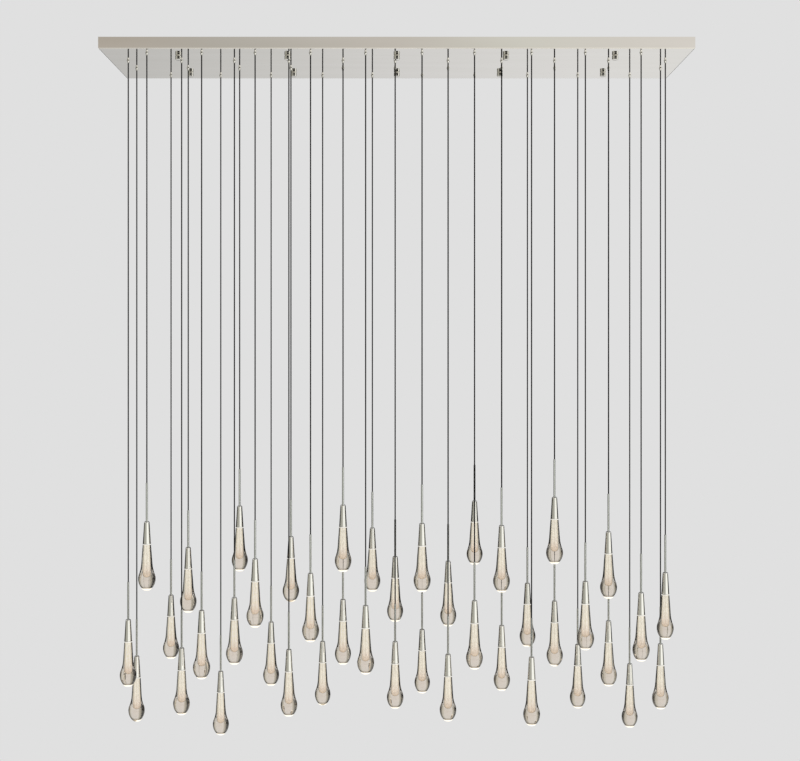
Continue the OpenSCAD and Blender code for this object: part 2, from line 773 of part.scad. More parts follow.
// Tapered shell turned from solid bar, with a rounded shoulder
module caps(row) color(nickel) {
    at_each_cap(row) rotate_extrude() difference() {
        union() {
            polygon([
                [0, 0], [cap_top_d / 2 - cap_shoulder_r, 0], [cap_top_d / 2, -cap_shoulder_r],
                [cap_mouth_d / 2, -cap_l], [0, -cap_l],
            ]);
            intersection() {
                translate([cap_top_d / 2 - cap_shoulder_r, -cap_shoulder_r]) circle(r = cap_shoulder_r);
                translate([0, -cap_shoulder_r]) square([cap_top_d, cap_shoulder_r]);
            }
        }
        polygon([
            [0, -cap_top_t], [cap_inner_r(cap_top_t), -cap_top_t],
            [cap_inner_r(cap_l + 1), -cap_l - 1], [0, -cap_l - 1],
        ]);
        translate([-1, -cap_l]) square([stem_d / 2 + screw_play + 1, cap_l + 1]);
    }
}

// Lamp inside the cap: heat slug, circuit board and light-emitting dome
module led_modules(row) color("#C8CACC") {
    board_top = slug_top + slug_h;
    at_each_cap(row) {
        translate([0, 0, -board_top]) {
            cylinder(
                r1 = cap_inner_r(board_top) - slug_play,
                r2 = cap_inner_r(slug_top) - slug_play,
                h = slug_h
            );
        }
        translate([0, 0, -board_top - board_t]) cylinder(r = cap_inner_r(slug_top) - 0.5, h = board_t);
        translate([0, 0, -board_top - board_t]) intersection() {
            sphere(r = dome_r);
            translate([-dome_r, -dome_r, -dome_r]) cube([2 * dome_r, 2 * dome_r, dome_r]);
        }
    }
}

// Column of seeded glass in the heart of the drop
module bubble_cores(row) color("#F3E3C3") {
    at_each_cap(row) translate([0, 0, -cap_l]) rotate_extrude() intersection() {
        core_section(0);
        translate([0, -core_depth]) square([core_d, core_depth + spigot_l]);
    }
}

// Lengthwise section of the core, widened by play: straight in the spigot, then a cone down to the round tip
module core_section(play) {
    neck_r = core_neck_d / 2 + play;
    r = core_d / 2 + play;
    centre_z = -core_depth + core_d / 2;
    lean = asin(r / norm([neck_r, centre_z])) - atan2(neck_r, -centre_z);
    touch = [r * cos(lean), centre_z + r * sin(lean)];
    polygon([
        [-neck_r, spigot_l + 1], [neck_r, spigot_l + 1], [neck_r, 0], touch,
        [-touch[0], touch[1]], [-neck_r, 0],
    ]);
    translate([0, centre_z]) circle(r = r);
}

// Solid drop of clear glass, hollow only where the seeded core lies
module glass_drops(row) color("#DDE3E2", 0.4) {
    at_each_cap(row) translate([0, 0, -cap_l]) rotate_extrude($fn = 64) {
        if ($is_shouldered) drop_profile(shouldered_taper, shouldered_blend);
        else drop_profile(slender_taper, slender_blend);
    }
}

module drop_profile(taper, blend) {
    mouth = [cap_mouth_d / 2, 0];
    along = [sin(taper), -cos(taper)];
    outward = [cos(taper), sin(taper)];
    start = mouth + blend * outward - side_centre;
    slope = start * along;
    neck_end = mouth + (-slope - sqrt(slope * slope - start * start + pow(side_r + blend, 2))) * along;
    blend_centre = neck_end + blend * outward;
    bulb_start = side_centre + side_r * (blend_centre - side_centre) / norm(blend_centre - side_centre);
    tip_start = side_centre + side_r * (tip_centre - side_centre) / norm(tip_centre - side_centre);
    spigot_r = cap_inner_r(cap_l - spigot_l) - spigot_play;
    difference() {
        union() {
            polygon([[0, spigot_l], [spigot_r, spigot_l], [spigot_r, 0], mouth, neck_end, blend_centre,
                bulb_start, [0, bulb_start[1]]]);
            intersection() {
                translate(side_centre) circle(r = side_r, $fn = 128);
                translate([0, tip_start[1]]) square([bulb_d, bulb_start[1] - tip_start[1] + arc_overlap]);
            }
            intersection() {
                translate(tip_centre) circle(r = tip_r, $fn = 96);
                translate([0, -drop_l]) square([bulb_d, drop_l + tip_start[1] + arc_overlap]);
            }
        }
        translate(blend_centre) circle(r = blend, $fn = 192);
        core_section(core_play);
    }
}

canopy_pan();
cord_grips();
grip_lock_nuts();
cord_tails();
rail(-1);  // rail_front
rail(1);  // rail_rear
crossbar(-bar_x);  // crossbar_left
crossbar(bar_x);  // crossbar_right
centre_plate();
canopy_studs();
stud_lock_nuts();
frame_screws();
wire_grommet();
driver(-1);  // driver_left
driver(1);  // driver_right
terminal_strip(-1);  // terminal_strip_front
terminal_strip(1);  // terminal_strip_rear
mains_block();
earth_terminal();
equipment_nuts();
mains_leads();
low_voltage_leads();
canopy_nut(-2, -1);  // canopy_nut_front_1
canopy_nut(-1, -1);  // canopy_nut_front_2
canopy_nut(0, -1);  // canopy_nut_front_3
canopy_nut(1, -1);  // canopy_nut_front_4
canopy_nut(2, -1);  // canopy_nut_front_5
canopy_nut(-2, 1);  // canopy_nut_rear_1
canopy_nut(-1, 1);  // canopy_nut_rear_2
canopy_nut(0, 1);  // canopy_nut_rear_3
canopy_nut(1, 1);  // canopy_nut_rear_4
canopy_nut(2, 1);  // canopy_nut_rear_5
cords(1);  // cords_row_1
stems(1);  // stems_row_1
caps(1);  // caps_row_1
led_modules(1);  // led_modules_row_1
bubble_cores(1);  // bubble_cores_row_1
glass_drops(1);  // glass_drops_row_1
cords(2);  // cords_row_2
stems(2);  // stems_row_2
caps(2);  // caps_row_2
led_modules(2);  // led_modules_row_2
bubble_cores(2);  // bubble_cores_row_2
glass_drops(2);  // glass_drops_row_2
cords(3);  // cords_row_3
stems(3);  // stems_row_3
caps(3);  // caps_row_3
led_modules(3);  // led_modules_row_3
bubble_cores(3);  // bubble_cores_row_3
glass_drops(3);  // glass_drops_row_3
cords(4);  // cords_row_4
stems(4);  // stems_row_4
caps(4);  // caps_row_4
led_modules(4);  // led_modules_row_4
bubble_cores(4);  // bubble_cores_row_4
glass_drops(4);  // glass_drops_row_4
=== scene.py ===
# Linear chandelier: 42 solid glass drops on thin cords under a long polished canopy. Metres, in the
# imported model's frame: X runs along the canopy, Y away from the viewer, Z = 0 at the ceiling.
import math
import random

import bmesh
import bpy
from mathutils import Matrix, Vector


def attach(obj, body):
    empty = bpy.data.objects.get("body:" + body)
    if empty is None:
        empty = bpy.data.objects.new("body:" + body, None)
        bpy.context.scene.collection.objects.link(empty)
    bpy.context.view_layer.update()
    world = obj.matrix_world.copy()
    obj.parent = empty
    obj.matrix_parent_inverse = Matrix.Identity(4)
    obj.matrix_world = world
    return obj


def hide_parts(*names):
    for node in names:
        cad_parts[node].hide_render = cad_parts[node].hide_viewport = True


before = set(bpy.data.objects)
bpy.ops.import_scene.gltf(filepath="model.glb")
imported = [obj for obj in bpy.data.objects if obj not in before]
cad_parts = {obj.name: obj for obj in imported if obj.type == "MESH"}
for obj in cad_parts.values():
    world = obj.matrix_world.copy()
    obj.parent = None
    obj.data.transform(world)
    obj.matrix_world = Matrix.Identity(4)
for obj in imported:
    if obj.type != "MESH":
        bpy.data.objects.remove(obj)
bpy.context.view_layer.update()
scene = bpy.context.scene
scene.view_settings.view_transform = "Standard"
mm = 0.001

# Camera. It stands level, 4.5 m in front of the canopy and about 1 m below the ceiling, with a lens that
# is a little longer than normal. The small shift keeps the canopy near the top of the frame, as the
# photograph does.
camera_data = bpy.data.cameras.new("camera")
camera_data.lens = 63
camera_data.sensor_width = 36
camera_data.shift_x = 0.0041
camera_data.shift_y = -0.0256
camera = bpy.data.objects.new("camera", camera_data)
camera.location = (0, -4.516, -0.990)
camera.rotation_euler = (math.pi / 2, 0, 0)
scene.collection.objects.link(camera)
scene.camera = camera

# Cords. Each is 4 mm thick, with steel strands and two insulated wires inside a smooth black sheath. It
# leaves the mouth of its grip and hangs dead straight under the weight of its drop, down through the
# stem to the lamp.
pitch_x = 0.171
pitch_y = 0.114
middle_row = 2.5
canopy_height = 0.036
pivot_z = -0.0425
cord_diameter = 0.004
lamp_depth = 0.0259
# From the underside of the canopy to the top of each cap, in millimetres, from left to right
hanging = {
    1: [1455, 1730, 1570, 1615, 1715, 1460, 1700, 1875, 1640, 1675],
    2: [1780, 1870, 1710, 1875, 1415, 1850, 1890, 1480, 1390, 1500, 1630],
    3: [1920, 1565, 1430, 1530, 1735, 1595, 1610, 1820, 1740, 1805, 1880],
    4: [1740, 1995, 1830, 1895, 1515, 1855, 1425, 1700, 1905, 1970],
}
# How far each cord hangs to the right of its even place, in millimetres
shift = {
    1: [-6, -7, -12, -11, -11, -7, -15, -9, -13, -11],
    2: [0, -1, -4, -1.5, 0, -5, -7.5, -8, -10.5, -9.5, 0.5],
    3: [6, 3, 0, -3.5, -4.5, -5, -3, 1, 2.5, 8, 6.5],
    4: [14, 9.5, 7, 8.5, 4, -0.5, 4, 10, 7.5, 10.5],
}


def cap_tops(row):
    """The middle of the top of each cap in a row, from left to right."""
    middle = (len(hanging[row]) - 1) / 2
    y = (row - middle_row) * pitch_y
    tops = []
    for place, (to_right, hangs) in enumerate(zip(shift[row], hanging[row])):
        tops.append(Vector(((place - middle) * pitch_x + to_right * mm, y, -canopy_height - hangs * mm)))
    return tops


def linear(code):
    """An sRGB colour code as linear red, green, blue and alpha."""
    parts = [int(code[i : i + 2], 16) / 255 for i in (1, 3, 5)]
    return [c / 12.92 if c <= 0.04045 else ((c + 0.055) / 1.055) ** 2.4 for c in parts] + [1.0]


def add_node(tree, kind, inputs=(), stops=(), **settings):
    """One node with its settings and links.

    inputs maps a socket's name or number to a value or to another node's output. stops are a colour
    ramp's positions and colour codes.
    """
    made = tree.nodes.new(kind)
    for name, value in settings.items():
        setattr(made, name, value)
    for number, (position, code) in enumerate(stops):
        elements = made.color_ramp.elements
        element = elements[number] if number < len(elements) else elements.new(position)
        element.position = position
        element.color = linear(code)
    for socket, value in dict(inputs).items():
        if isinstance(value, bpy.types.NodeSocket):
            tree.links.new(value, made.inputs[socket])
        else:
            made.inputs[socket].default_value = value
    return made


def start_material(name):
    """A new material, its node tree and its Principled shader."""
    made = bpy.data.materials.new(name)
    made.use_nodes = True
    return made, made.node_tree, made.node_tree.nodes["Principled BSDF"]


def texture_place(tree, scale):
    """Object coordinates times a scale along each axis."""
    place = add_node(tree, "ShaderNodeTexCoord").outputs["Object"]
    return add_node(tree, "ShaderNodeMapping", {"Vector": place, "Scale": scale}).outputs["Vector"]


# Extruded black PVC: a soft sheen, with faint dull bands along the cord where it was wound on the reel.
cord_sheath, tree, shader = start_material("extruded black PVC sheath")
bands = add_node(
    tree, "ShaderNodeTexNoise", {"Vector": texture_place(tree, (40, 40, 9)), "Scale": 1.0, "Detail": 2.0}
)
sheath_tone = add_node(
    tree,
    "ShaderNodeValToRGB",
    {"Fac": bands.outputs["Fac"]},
    stops=[(0.35, "#030303"), (0.65, "#080809")],
)
tree.links.new(sheath_tone.outputs["Color"], shader.inputs["Base Color"])
dullness = add_node(
    tree, "ShaderNodeMapRange", {"Value": bands.outputs["Fac"], "To Min": 0.5, "To Max": 0.65}
)
tree.links.new(dullness.outputs["Result"], shader.inputs["Roughness"])
shader.inputs["IOR"].default_value = 1.53
shader.inputs["Specular IOR Level"].default_value = 0.25

cord_points = 20
for row in hanging:
    for number, cap in enumerate(cap_tops(row), 1):
        end_z = cap.z - lamp_depth
        curve = bpy.data.curves.new(f"cord_{row}_{number:02d}", "CURVE")
        curve.dimensions = "3D"
        curve.bevel_depth = cord_diameter / 2
        curve.bevel_resolution = 3
        curve.use_fill_caps = True
        spline = curve.splines.new("POLY")
        spline.points.add(cord_points - 1)
        for step, point in enumerate(spline.points):
            point.co = (cap.x, cap.y, pivot_z + (end_z - pivot_z) * step / (cord_points - 1), 1)
        curve.materials.append(cord_sheath)
        cord = bpy.data.objects.new(curve.name, curve)
        scene.collection.objects.link(cord)
        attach(cord, f"row_{row}")
        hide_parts(f"cords_row_{row}")


# Mounting frame: two channel rails, two crossbars and the centre plate, rolled and pressed from hot-dip
# galvanised steel. The solids have the right shape and get the finish: pale grey zinc crystals about 12
# mm wide.
galvanised, tree, shader = start_material("hot-dip galvanised steel")
spangle = add_node(
    tree,
    "ShaderNodeTexVoronoi",
    {"Vector": texture_place(tree, (1, 1, 1)), "Scale": 85.0, "Randomness": 1.0},
)
grey = add_node(tree, "ShaderNodeSeparateColor", {"Color": spangle.outputs["Color"]}).outputs["Red"]
zinc_tone = add_node(
    tree, "ShaderNodeValToRGB", {"Fac": grey}, stops=[(0.1, "#A9AEB2"), (0.9, "#C9CDD0")]
)
tree.links.new(zinc_tone.outputs["Color"], shader.inputs["Base Color"])
crystal_gloss = add_node(tree, "ShaderNodeMapRange", {"Value": grey, "To Min": 0.30, "To Max": 0.55})
tree.links.new(crystal_gloss.outputs["Result"], shader.inputs["Roughness"])
shader.inputs["Metallic"].default_value = 1.0


def finish_nodes(material, *nodes):
    """Gives CAD nodes, whose shape stays, a material."""
    for name in nodes:
        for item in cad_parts[name].material_slots:
            item.material = material


finish_nodes(galvanised, "rail_front", "rail_rear", "crossbar_left", "crossbar_right", "centre_plate")


# Grommet: a moulded rubber ring that keeps the supply cable off the edge of the centre plate.
# Rubber is nearly black, dull, and a little dusty grey where it bulges.
rubber, tree, shader = start_material("moulded black rubber")
dust = add_node(
    tree, "ShaderNodeTexNoise", {"Vector": texture_place(tree, (1, 1, 1)), "Scale": 300.0, "Detail": 4.0}
)
rubber_tone = add_node(
    tree, "ShaderNodeValToRGB", {"Fac": dust.outputs["Fac"]}, stops=[(0.4, "#161616"), (0.7, "#2A2A29")]
)
tree.links.new(rubber_tone.outputs["Color"], shader.inputs["Base Color"])
shader.inputs["Roughness"].default_value = 0.75
rubber_grain = add_node(
    tree, "ShaderNodeBump", {"Height": dust.outputs["Fac"], "Distance": 0.1 * mm, "Strength": 0.5}
)
tree.links.new(rubber_grain.outputs["Normal"], shader.inputs["Normal"])
finish_nodes(rubber, "wire_grommet")


# Studs: ten M6 threaded studs with a flat head let into each rail. They carry the canopy's nuts.
# Bright zinc plate: cool grey, half gloss, slightly mottled.
zinc_plate, tree, shader = start_material("bright zinc plate")
mottle = add_node(
    tree, "ShaderNodeTexNoise", {"Vector": texture_place(tree, (1, 1, 1)), "Scale": 220.0, "Detail": 3.0}
)
plate_tone = add_node(
    tree,
    "ShaderNodeValToRGB",
    {"Fac": mottle.outputs["Fac"]},
    stops=[(0.35, "#B4B9BF"), (0.7, "#D2D5D9")],
)
tree.links.new(plate_tone.outputs["Color"], shader.inputs["Base Color"])
plate_gloss = add_node(
    tree, "ShaderNodeMapRange", {"Value": mottle.outputs["Fac"], "To Min": 0.22, "To Max": 0.42}
)
tree.links.new(plate_gloss.outputs["Result"], shader.inputs["Roughness"])
shader.inputs["Metallic"].default_value = 1.0

rail_y = 0.130
stud_pitch = 2 * pitch_x
stud_places = [Vector((column * stud_pitch, y, 0)) for column in range(-2, 3) for y in (-rail_y, rail_y)]


def turn(profile, steps, material_index=0):
    """A mesh turned about Z from a profile of (radius, height) in millimetres.

    The profile is listed from the axis back to the axis, or once round a ring.
    """
    shape = bmesh.new()
    corners = [shape.verts.new((radius * mm, 0, height * mm)) for radius, height in profile]
    closed = profile[0][0] > 0
    rim = [shape.edges.new(pair) for pair in zip(corners, corners[1:] + corners[:1] * closed)]
    bmesh.ops.spin(
        shape,
        geom=corners + rim,
        cent=(0, 0, 0),
        axis=(0, 0, 1),
        angle=2 * math.pi,
        steps=steps,
        use_merge=True,
        use_duplicate=False,
    )
    bmesh.ops.remove_doubles(shape, verts=shape.verts[:], dist=1e-6)
    bmesh.ops.recalc_face_normals(shape, faces=shape.faces[:])
    for face in shape.faces:
        face.material_index = material_index
        face.smooth = True
    return shape


def add_copies(whole, shape, places):
    """Adds the shape to a bmesh once for each place, which is a point or a matrix."""
    made = bpy.data.meshes.new("copied")
    shape.to_mesh(made)
    for place in places:
        matrix = place if isinstance(place, Matrix) else Matrix.Translation(place)
        first = len(whole.verts)
        whole.from_mesh(made)
        bmesh.ops.transform(whole, matrix=matrix, verts=whole.verts[first:])
    bpy.data.meshes.remove(made)


def add_piece(name, whole, materials, body, nodes, sharp=35):
    """The piece made from a bmesh, riding on its body and standing for its CAD nodes."""
    mesh = bpy.data.meshes.new(name)
    whole.to_mesh(mesh)
    whole.free()
    for material in materials:
        mesh.materials.append(material)
    mesh.set_sharp_from_angle(angle=math.radians(sharp))
    piece = bpy.data.objects.new(name, mesh)
    scene.collection.objects.link(piece)
    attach(piece, body)
    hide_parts(*nodes)


thread_pitch = 1.0
thread_turns = 33
stud_end = -46.0
thread = [(0, stud_end), (2.3, stud_end)]
for turn_number in range(thread_turns):
    height = stud_end + 0.5 + turn_number * thread_pitch
    thread += [(3.0, height), (2.5, height + thread_pitch / 2)]
shank_and_head = [(3.0, -12.0), (3.0, -1.2), (4.5, -1.2), (4.5, 0), (0, 0)]
studs = bmesh.new()
add_copies(studs, turn(thread + shank_and_head, 16), stud_places)
add_piece("threaded_studs", studs, [zinc_plate], "canopy", ["canopy_studs"])


# Hexagon nuts, cold forged and zinc plated: one locks each stud to its rail, one locks each cord grip
# inside the canopy, and small ones hold the electrical parts down on their welded studs.
def hexagon_nut(across_flats, bore, height):
    """A nut that stands on Z = 0, with its outer corners broken, in millimetres."""
    shape = bmesh.new()
    corner = across_flats / 2 / math.cos(math.pi / 6) * mm
    outer = bmesh.ops.create_circle(shape, segments=6, radius=corner)["verts"]
    outer_edges = list({edge for vert in outer for edge in vert.link_edges})
    bmesh.ops.subdivide_edges(shape, edges=outer_edges, cuts=3)
    outer_edges = shape.edges[:]
    inner = bmesh.ops.create_circle(shape, segments=24, radius=bore / 2 * mm)["verts"]
    inner_edges = list({edge for vert in inner for edge in vert.link_edges})
    ring = bmesh.ops.bridge_loops(shape, edges=outer_edges + inner_edges)["faces"]
    raised = bmesh.ops.extrude_face_region(shape, geom=ring)["geom"]
    lifted = [item for item in raised if isinstance(item, bmesh.types.BMVert)]
    bmesh.ops.translate(shape, verts=lifted, vec=(0, 0, height * mm))
    bmesh.ops.recalc_face_normals(shape, faces=shape.faces[:])
    # The long edges round the outside of both ends, which meet the sides at a right angle
    apothem = across_flats / 2 * mm
    rims = [
        edge
        for edge in shape.edges
        if edge.is_manifold
        and edge.calc_face_angle() > 1.2
        and min(vert.co.xy.length for vert in edge.verts) > 0.98 * apothem
        and abs(edge.verts[0].co.z - edge.verts[1].co.z) < 1e-6
    ]
    bmesh.ops.bevel(
        shape,
        geom=rims,
        offset=0.06 * across_flats * mm,
        affect="EDGES",
        segments=2,
        profile=0.5,
        material=-1,
    )
    return shape


rail_thickness = 2 * mm
stud_nut_height = 5
stud_nuts = bmesh.new()
below_rail = Vector((0, 0, rail_thickness + stud_nut_height * mm))
stud_nut_places = [place - below_rail for place in stud_places]
add_copies(stud_nuts, hexagon_nut(10, 6.2, stud_nut_height), stud_nut_places)
add_piece("stud_nuts", stud_nuts, [zinc_plate], "canopy", ["stud_lock_nuts"], 25)

sheet_thickness = 1.5 * mm
floor_z = -canopy_height + sheet_thickness
grip_nut_places = [Vector((cap.x, cap.y, floor_z)) for row in hanging for cap in cap_tops(row)]
grip_nuts = bmesh.new()
add_copies(grip_nuts, hexagon_nut(10, 7.2, 3), grip_nut_places)
add_piece("grip_nuts", grip_nuts, [zinc_plate], "canopy", ["grip_lock_nuts"], 25)

strip_y = 0.114
strip_stud_x = [part * pitch_x / 2 for part in (-7.5, -2.5, 2.5, 7.5)]
driver_x = 0.400
tab_reach = 0.1525
tab_stud_x = [side * driver_x + end * tab_reach for side in (-1, 1) for end in (-1, 1)]
mains_x = 0.095
mains_reach = 0.040
mains_stud_x = [mains_x - mains_reach, mains_x + mains_reach]
strip_base = 2 * mm
tab_thickness = 3 * mm
small_nut_places = []
for y in (-strip_y, strip_y):
    small_nut_places += [Vector((x, y, floor_z + strip_base)) for x in strip_stud_x]
small_nut_places += [Vector((x, 0, floor_z + tab_thickness)) for x in tab_stud_x + mains_stud_x]
small_nuts = bmesh.new()
add_copies(small_nuts, hexagon_nut(5.5, 3.2, 2.4), small_nut_places)
add_piece("equipment_nuts_m3", small_nuts, [zinc_plate], "canopy", ["equipment_nuts"], 25)


# Frame screws: zinc-plated M4 machine screws with a pan head and a cross recess. They are driven up
# through the bars and the plate into tapped holes in the rails.
crossbar_x = 0.513
screw_line_y = 0.117
screw_x = []
for bar_x, beside in ((-crossbar_x, 0.015), (0, 0.070), (crossbar_x, 0.015)):
    screw_x += [bar_x - beside, bar_x + beside]
screw_profile = [
    (0, -1.4), (1.0, -1.4), (1.6, -2.4), (3.0, -2.2), (3.8, -1.4),
    (4.0, 0), (2.0, 0), (2.0, 3.8), (0, 3.8),
]
screws = bmesh.new()
add_copies(
    screws,
    turn(screw_profile, 20),
    [Vector((x, side * screw_line_y, -2 * rail_thickness)) for x in screw_x for side in (-1, 1)],
)
add_piece("machine_screws", screws, [zinc_plate], "canopy", ["frame_screws"])


# Canopy pan: one sheet of steel, 1.5 mm thick, cut, folded into a tray, polished and nickel plated. The
# solid has the folds and holes. Polished nickel mirrors its surroundings with a warm tint; buffing
# leaves a faint soft haze in long streaks, and the sheet isn't perfectly flat.
polished_nickel, tree, shader = start_material("polished nickel plate")
haze = add_node(
    tree, "ShaderNodeTexNoise", {"Vector": texture_place(tree, (2, 25, 25)), "Scale": 1.0, "Detail": 3.0}
)
nickel_tone = add_node(
    tree, "ShaderNodeValToRGB", {"Fac": haze.outputs["Fac"]}, stops=[(0.3, "#EFECE6"), (0.7, "#F4F1EC")]
)
tree.links.new(nickel_tone.outputs["Color"], shader.inputs["Base Color"])
buffing = add_node(
    tree, "ShaderNodeMapRange", {"Value": haze.outputs["Fac"], "To Min": 0.02, "To Max": 0.06}
)
tree.links.new(buffing.outputs["Result"], shader.inputs["Roughness"])
shader.inputs["Metallic"].default_value = 1.0
sheet_wave = add_node(
    tree, "ShaderNodeTexNoise", {"Vector": texture_place(tree, (1, 1, 1)), "Scale": 6.0, "Detail": 0.0}
)
waviness = add_node(
    tree, "ShaderNodeBump", {"Height": sheet_wave.outputs["Fac"], "Distance": 0.2 * mm, "Strength": 0.3}
)
tree.links.new(waviness.outputs["Normal"], shader.inputs["Normal"])
finish_nodes(polished_nickel, "canopy_pan")


# Cord grips: turned brass, with a thin flange under the canopy, a short cone down to a mouth flared inside
# so that the cord can swing, and a threaded neck up through the sheet. The bright nickel plate is
# neutral and mirrors sharply, with the faintest rings from the turning.
bright_nickel, tree, shader = start_material("bright nickel plate on turned brass")
turning = add_node(
    tree,
    "ShaderNodeTexNoise",
    {"Vector": texture_place(tree, (15, 15, 700)), "Scale": 1.0, "Detail": 1.0},
)
turned_tone = add_node(
    tree,
    "ShaderNodeValToRGB",
    {"Fac": turning.outputs["Fac"]},
    stops=[(0.3, "#F8F7F3"), (0.7, "#FCFBF8")],
)
tree.links.new(turned_tone.outputs["Color"], shader.inputs["Base Color"])
turned_gloss = add_node(
    tree, "ShaderNodeMapRange", {"Value": turning.outputs["Fac"], "To Min": 0.01, "To Max": 0.03}
)
tree.links.new(turned_gloss.outputs["Result"], shader.inputs["Roughness"])
shader.inputs["Metallic"].default_value = 1.0
grip_profile = [
    (3.5, 8.0), (3.0, 8.5), (2.3, 8.5), (2.3, -6.5), (2.7, -8.5), (2.8, -8.5), (3.0, -8.1), (3.0, -5.4),
    (3.0, -5.0), (3.1, -4.8), (4.3, -2.0), (4.5, -1.8), (4.5, -0.2), (4.3, 0), (3.5, 0),
]
grips = bmesh.new()
grip_places = [Vector((cap.x, cap.y, -canopy_height)) for row in hanging for cap in cap_tops(row)]
add_copies(grips, turn(grip_profile, 24), grip_places)
add_piece("turned_grips", grips, [bright_nickel], "canopy", ["cord_grips"])


# Cord tails: the fixed upper ends of the cords, which bend over inside the canopy towards the terminal
# strips.
finish_nodes(cord_sheath, "cord_tails")


# Terminal strips: moulded white nylon, one block for each cord of two rows. Each block has two screw
# turrets with slotted brass screws in them. Nylon is a milky white with a soft shine.
nylon, tree, shader = start_material("moulded white nylon")
milk = add_node(
    tree, "ShaderNodeTexNoise", {"Vector": texture_place(tree, (1, 1, 1)), "Scale": 90.0, "Detail": 2.0}
)
nylon_tone = add_node(
    tree, "ShaderNodeValToRGB", {"Fac": milk.outputs["Fac"]}, stops=[(0.3, "#DEDCD4"), (0.7, "#EBE9E3")]
)
tree.links.new(nylon_tone.outputs["Color"], shader.inputs["Base Color"])
shader.inputs["Roughness"].default_value = 0.42
shader.inputs["IOR"].default_value = 1.53
shader.inputs["Subsurface Weight"].default_value = 0.1
shader.inputs["Subsurface Radius"].default_value = (1.5 * mm, 1.2 * mm, 1.0 * mm)

# Machined brass: warm yellow, with fine tarnish.
brass, tree, shader = start_material("machined brass")
tarnish = add_node(
    tree, "ShaderNodeTexNoise", {"Vector": texture_place(tree, (1, 1, 1)), "Scale": 400.0, "Detail": 3.0}
)
brass_tone = add_node(
    tree,
    "ShaderNodeValToRGB",
    {"Fac": tarnish.outputs["Fac"]},
    stops=[(0.3, "#B08D3E"), (0.7, "#D9B968")],
)
tree.links.new(brass_tone.outputs["Color"], shader.inputs["Base Color"])
shader.inputs["Roughness"].default_value = 0.3
shader.inputs["Metallic"].default_value = 1.0


def rounded_box(size, middle, radius, segments=2):
    """A box with all its edges rounded, in millimetres."""
    shape = bmesh.new()
    bmesh.ops.create_cube(shape, size=1.0)
    bmesh.ops.scale(shape, vec=[side * mm for side in size], verts=shape.verts[:])
    bmesh.ops.bevel(
        shape,
        geom=shape.edges[:],
        offset=radius * mm,
        affect="EDGES",
        segments=segments,
        profile=0.5,
        material=-1,
    )
    bmesh.ops.translate(shape, vec=[part * mm for part in middle], verts=shape.verts[:])
    return shape


def slotted_screw(radius, height, material_index):
    """A screw's low domed head with a straight groove sunk across it, in millimetres."""
    head = [(0, 0), (radius, 0), (radius, 0.7 * height), (0.8 * radius, height), (0, height)]
    shape = turn(head, 16, material_index)
    half_slot = 0.14 * radius * mm
    for offset in (-half_slot, half_slot):
        everything = shape.verts[:] + shape.edges[:] + shape.faces[:]
        bmesh.ops.bisect_plane(
            shape, geom=everything, plane_co=(0, offset, 0), plane_no=(0, 1, 0), dist=1e-7
        )
    groove = [
        face
        for face in shape.faces
        if abs(face.calc_center_median().y) < half_slot and face.normal.z > 0.5
    ]
    sunk = bmesh.ops.extrude_face_region(shape, geom=groove)["geom"]
    sunk_corners = [item for item in sunk if isinstance(item, bmesh.types.BMVert)]
    bmesh.ops.translate(shape, vec=(0, 0, -0.4 * height * mm), verts=sunk_corners)
    bmesh.ops.delete(shape, geom=groove, context="FACES_ONLY")
    return shape


block_height = 15.9
turret_profile = [(1.9, 0), (2.6, 0), (2.6, 1.0), (2.3, 1.2), (1.9, 1.2)]
block = bmesh.new()
add_copies(block, rounded_box((14, 16, block_height), (0, 0, block_height / 2), 0.8), [Vector()])
for y in (-4 * mm, 4 * mm):
    add_copies(block, turn(turret_profile, 16), [Vector((0, y, (block_height - 0.1) * mm))])
    add_copies(block, slotted_screw(1.85, 0.9, 1), [Vector((0, y, block_height * mm))])
for name, side in (("front", -1), ("rear", 1)):
    strip = bmesh.new()
    base = rounded_box((1740, 16, 2), (0, 0, 1), 0.4, 1)
    add_copies(strip, base, [Vector((0, side * strip_y, floor_z))])
    served = cap_tops(1) + cap_tops(2) if side < 0 else cap_tops(3) + cap_tops(4)
    add_copies(strip, block, [Vector((cap.x, side * strip_y, floor_z + strip_base)) for cap in served])
    node = f"terminal_strip_{name}"
    add_piece(f"wired_strip_{name}", strip, [nylon, brass], "canopy", [node])


# Mains block: three bigger nylon poles side by side, one for each of the supply cable's wires, with
# brass screws. Its foot is held down by two of the small nuts.
pole_height = 17
pole_turret = [(2.9, 0), (3.8, 0), (3.8, 0.8), (3.5, 1.0), (2.9, 1.0)]
pole = bmesh.new()
add_copies(pole, rounded_box((62, 10, pole_height), (0, 0, pole_height / 2), 1), [Vector()])
for x in (-22 * mm, 22 * mm):
    pole_top = Vector((x, 0, pole_height * mm))
    add_copies(pole, turn(pole_turret, 20), [pole_top])
    add_copies(pole, slotted_screw(2.85, 0.9, 1), [pole_top])
mains_block = bmesh.new()
mains_middle = Vector((mains_x, 0, floor_z))
add_copies(mains_block, pole, [mains_middle + Vector((0, i * 12 * mm, 0)) for i in (-1, 0, 1)])
add_copies(mains_block, rounded_box((70, 40, 14), (0, 0, 7), 1), [mains_middle])
add_copies(mains_block, rounded_box((90, 16, 3), (0, 0, 1.5), 0.8), [mains_middle])
add_piece("mains_terminals", mains_block, [nylon, brass], "canopy", ["mains_block"])


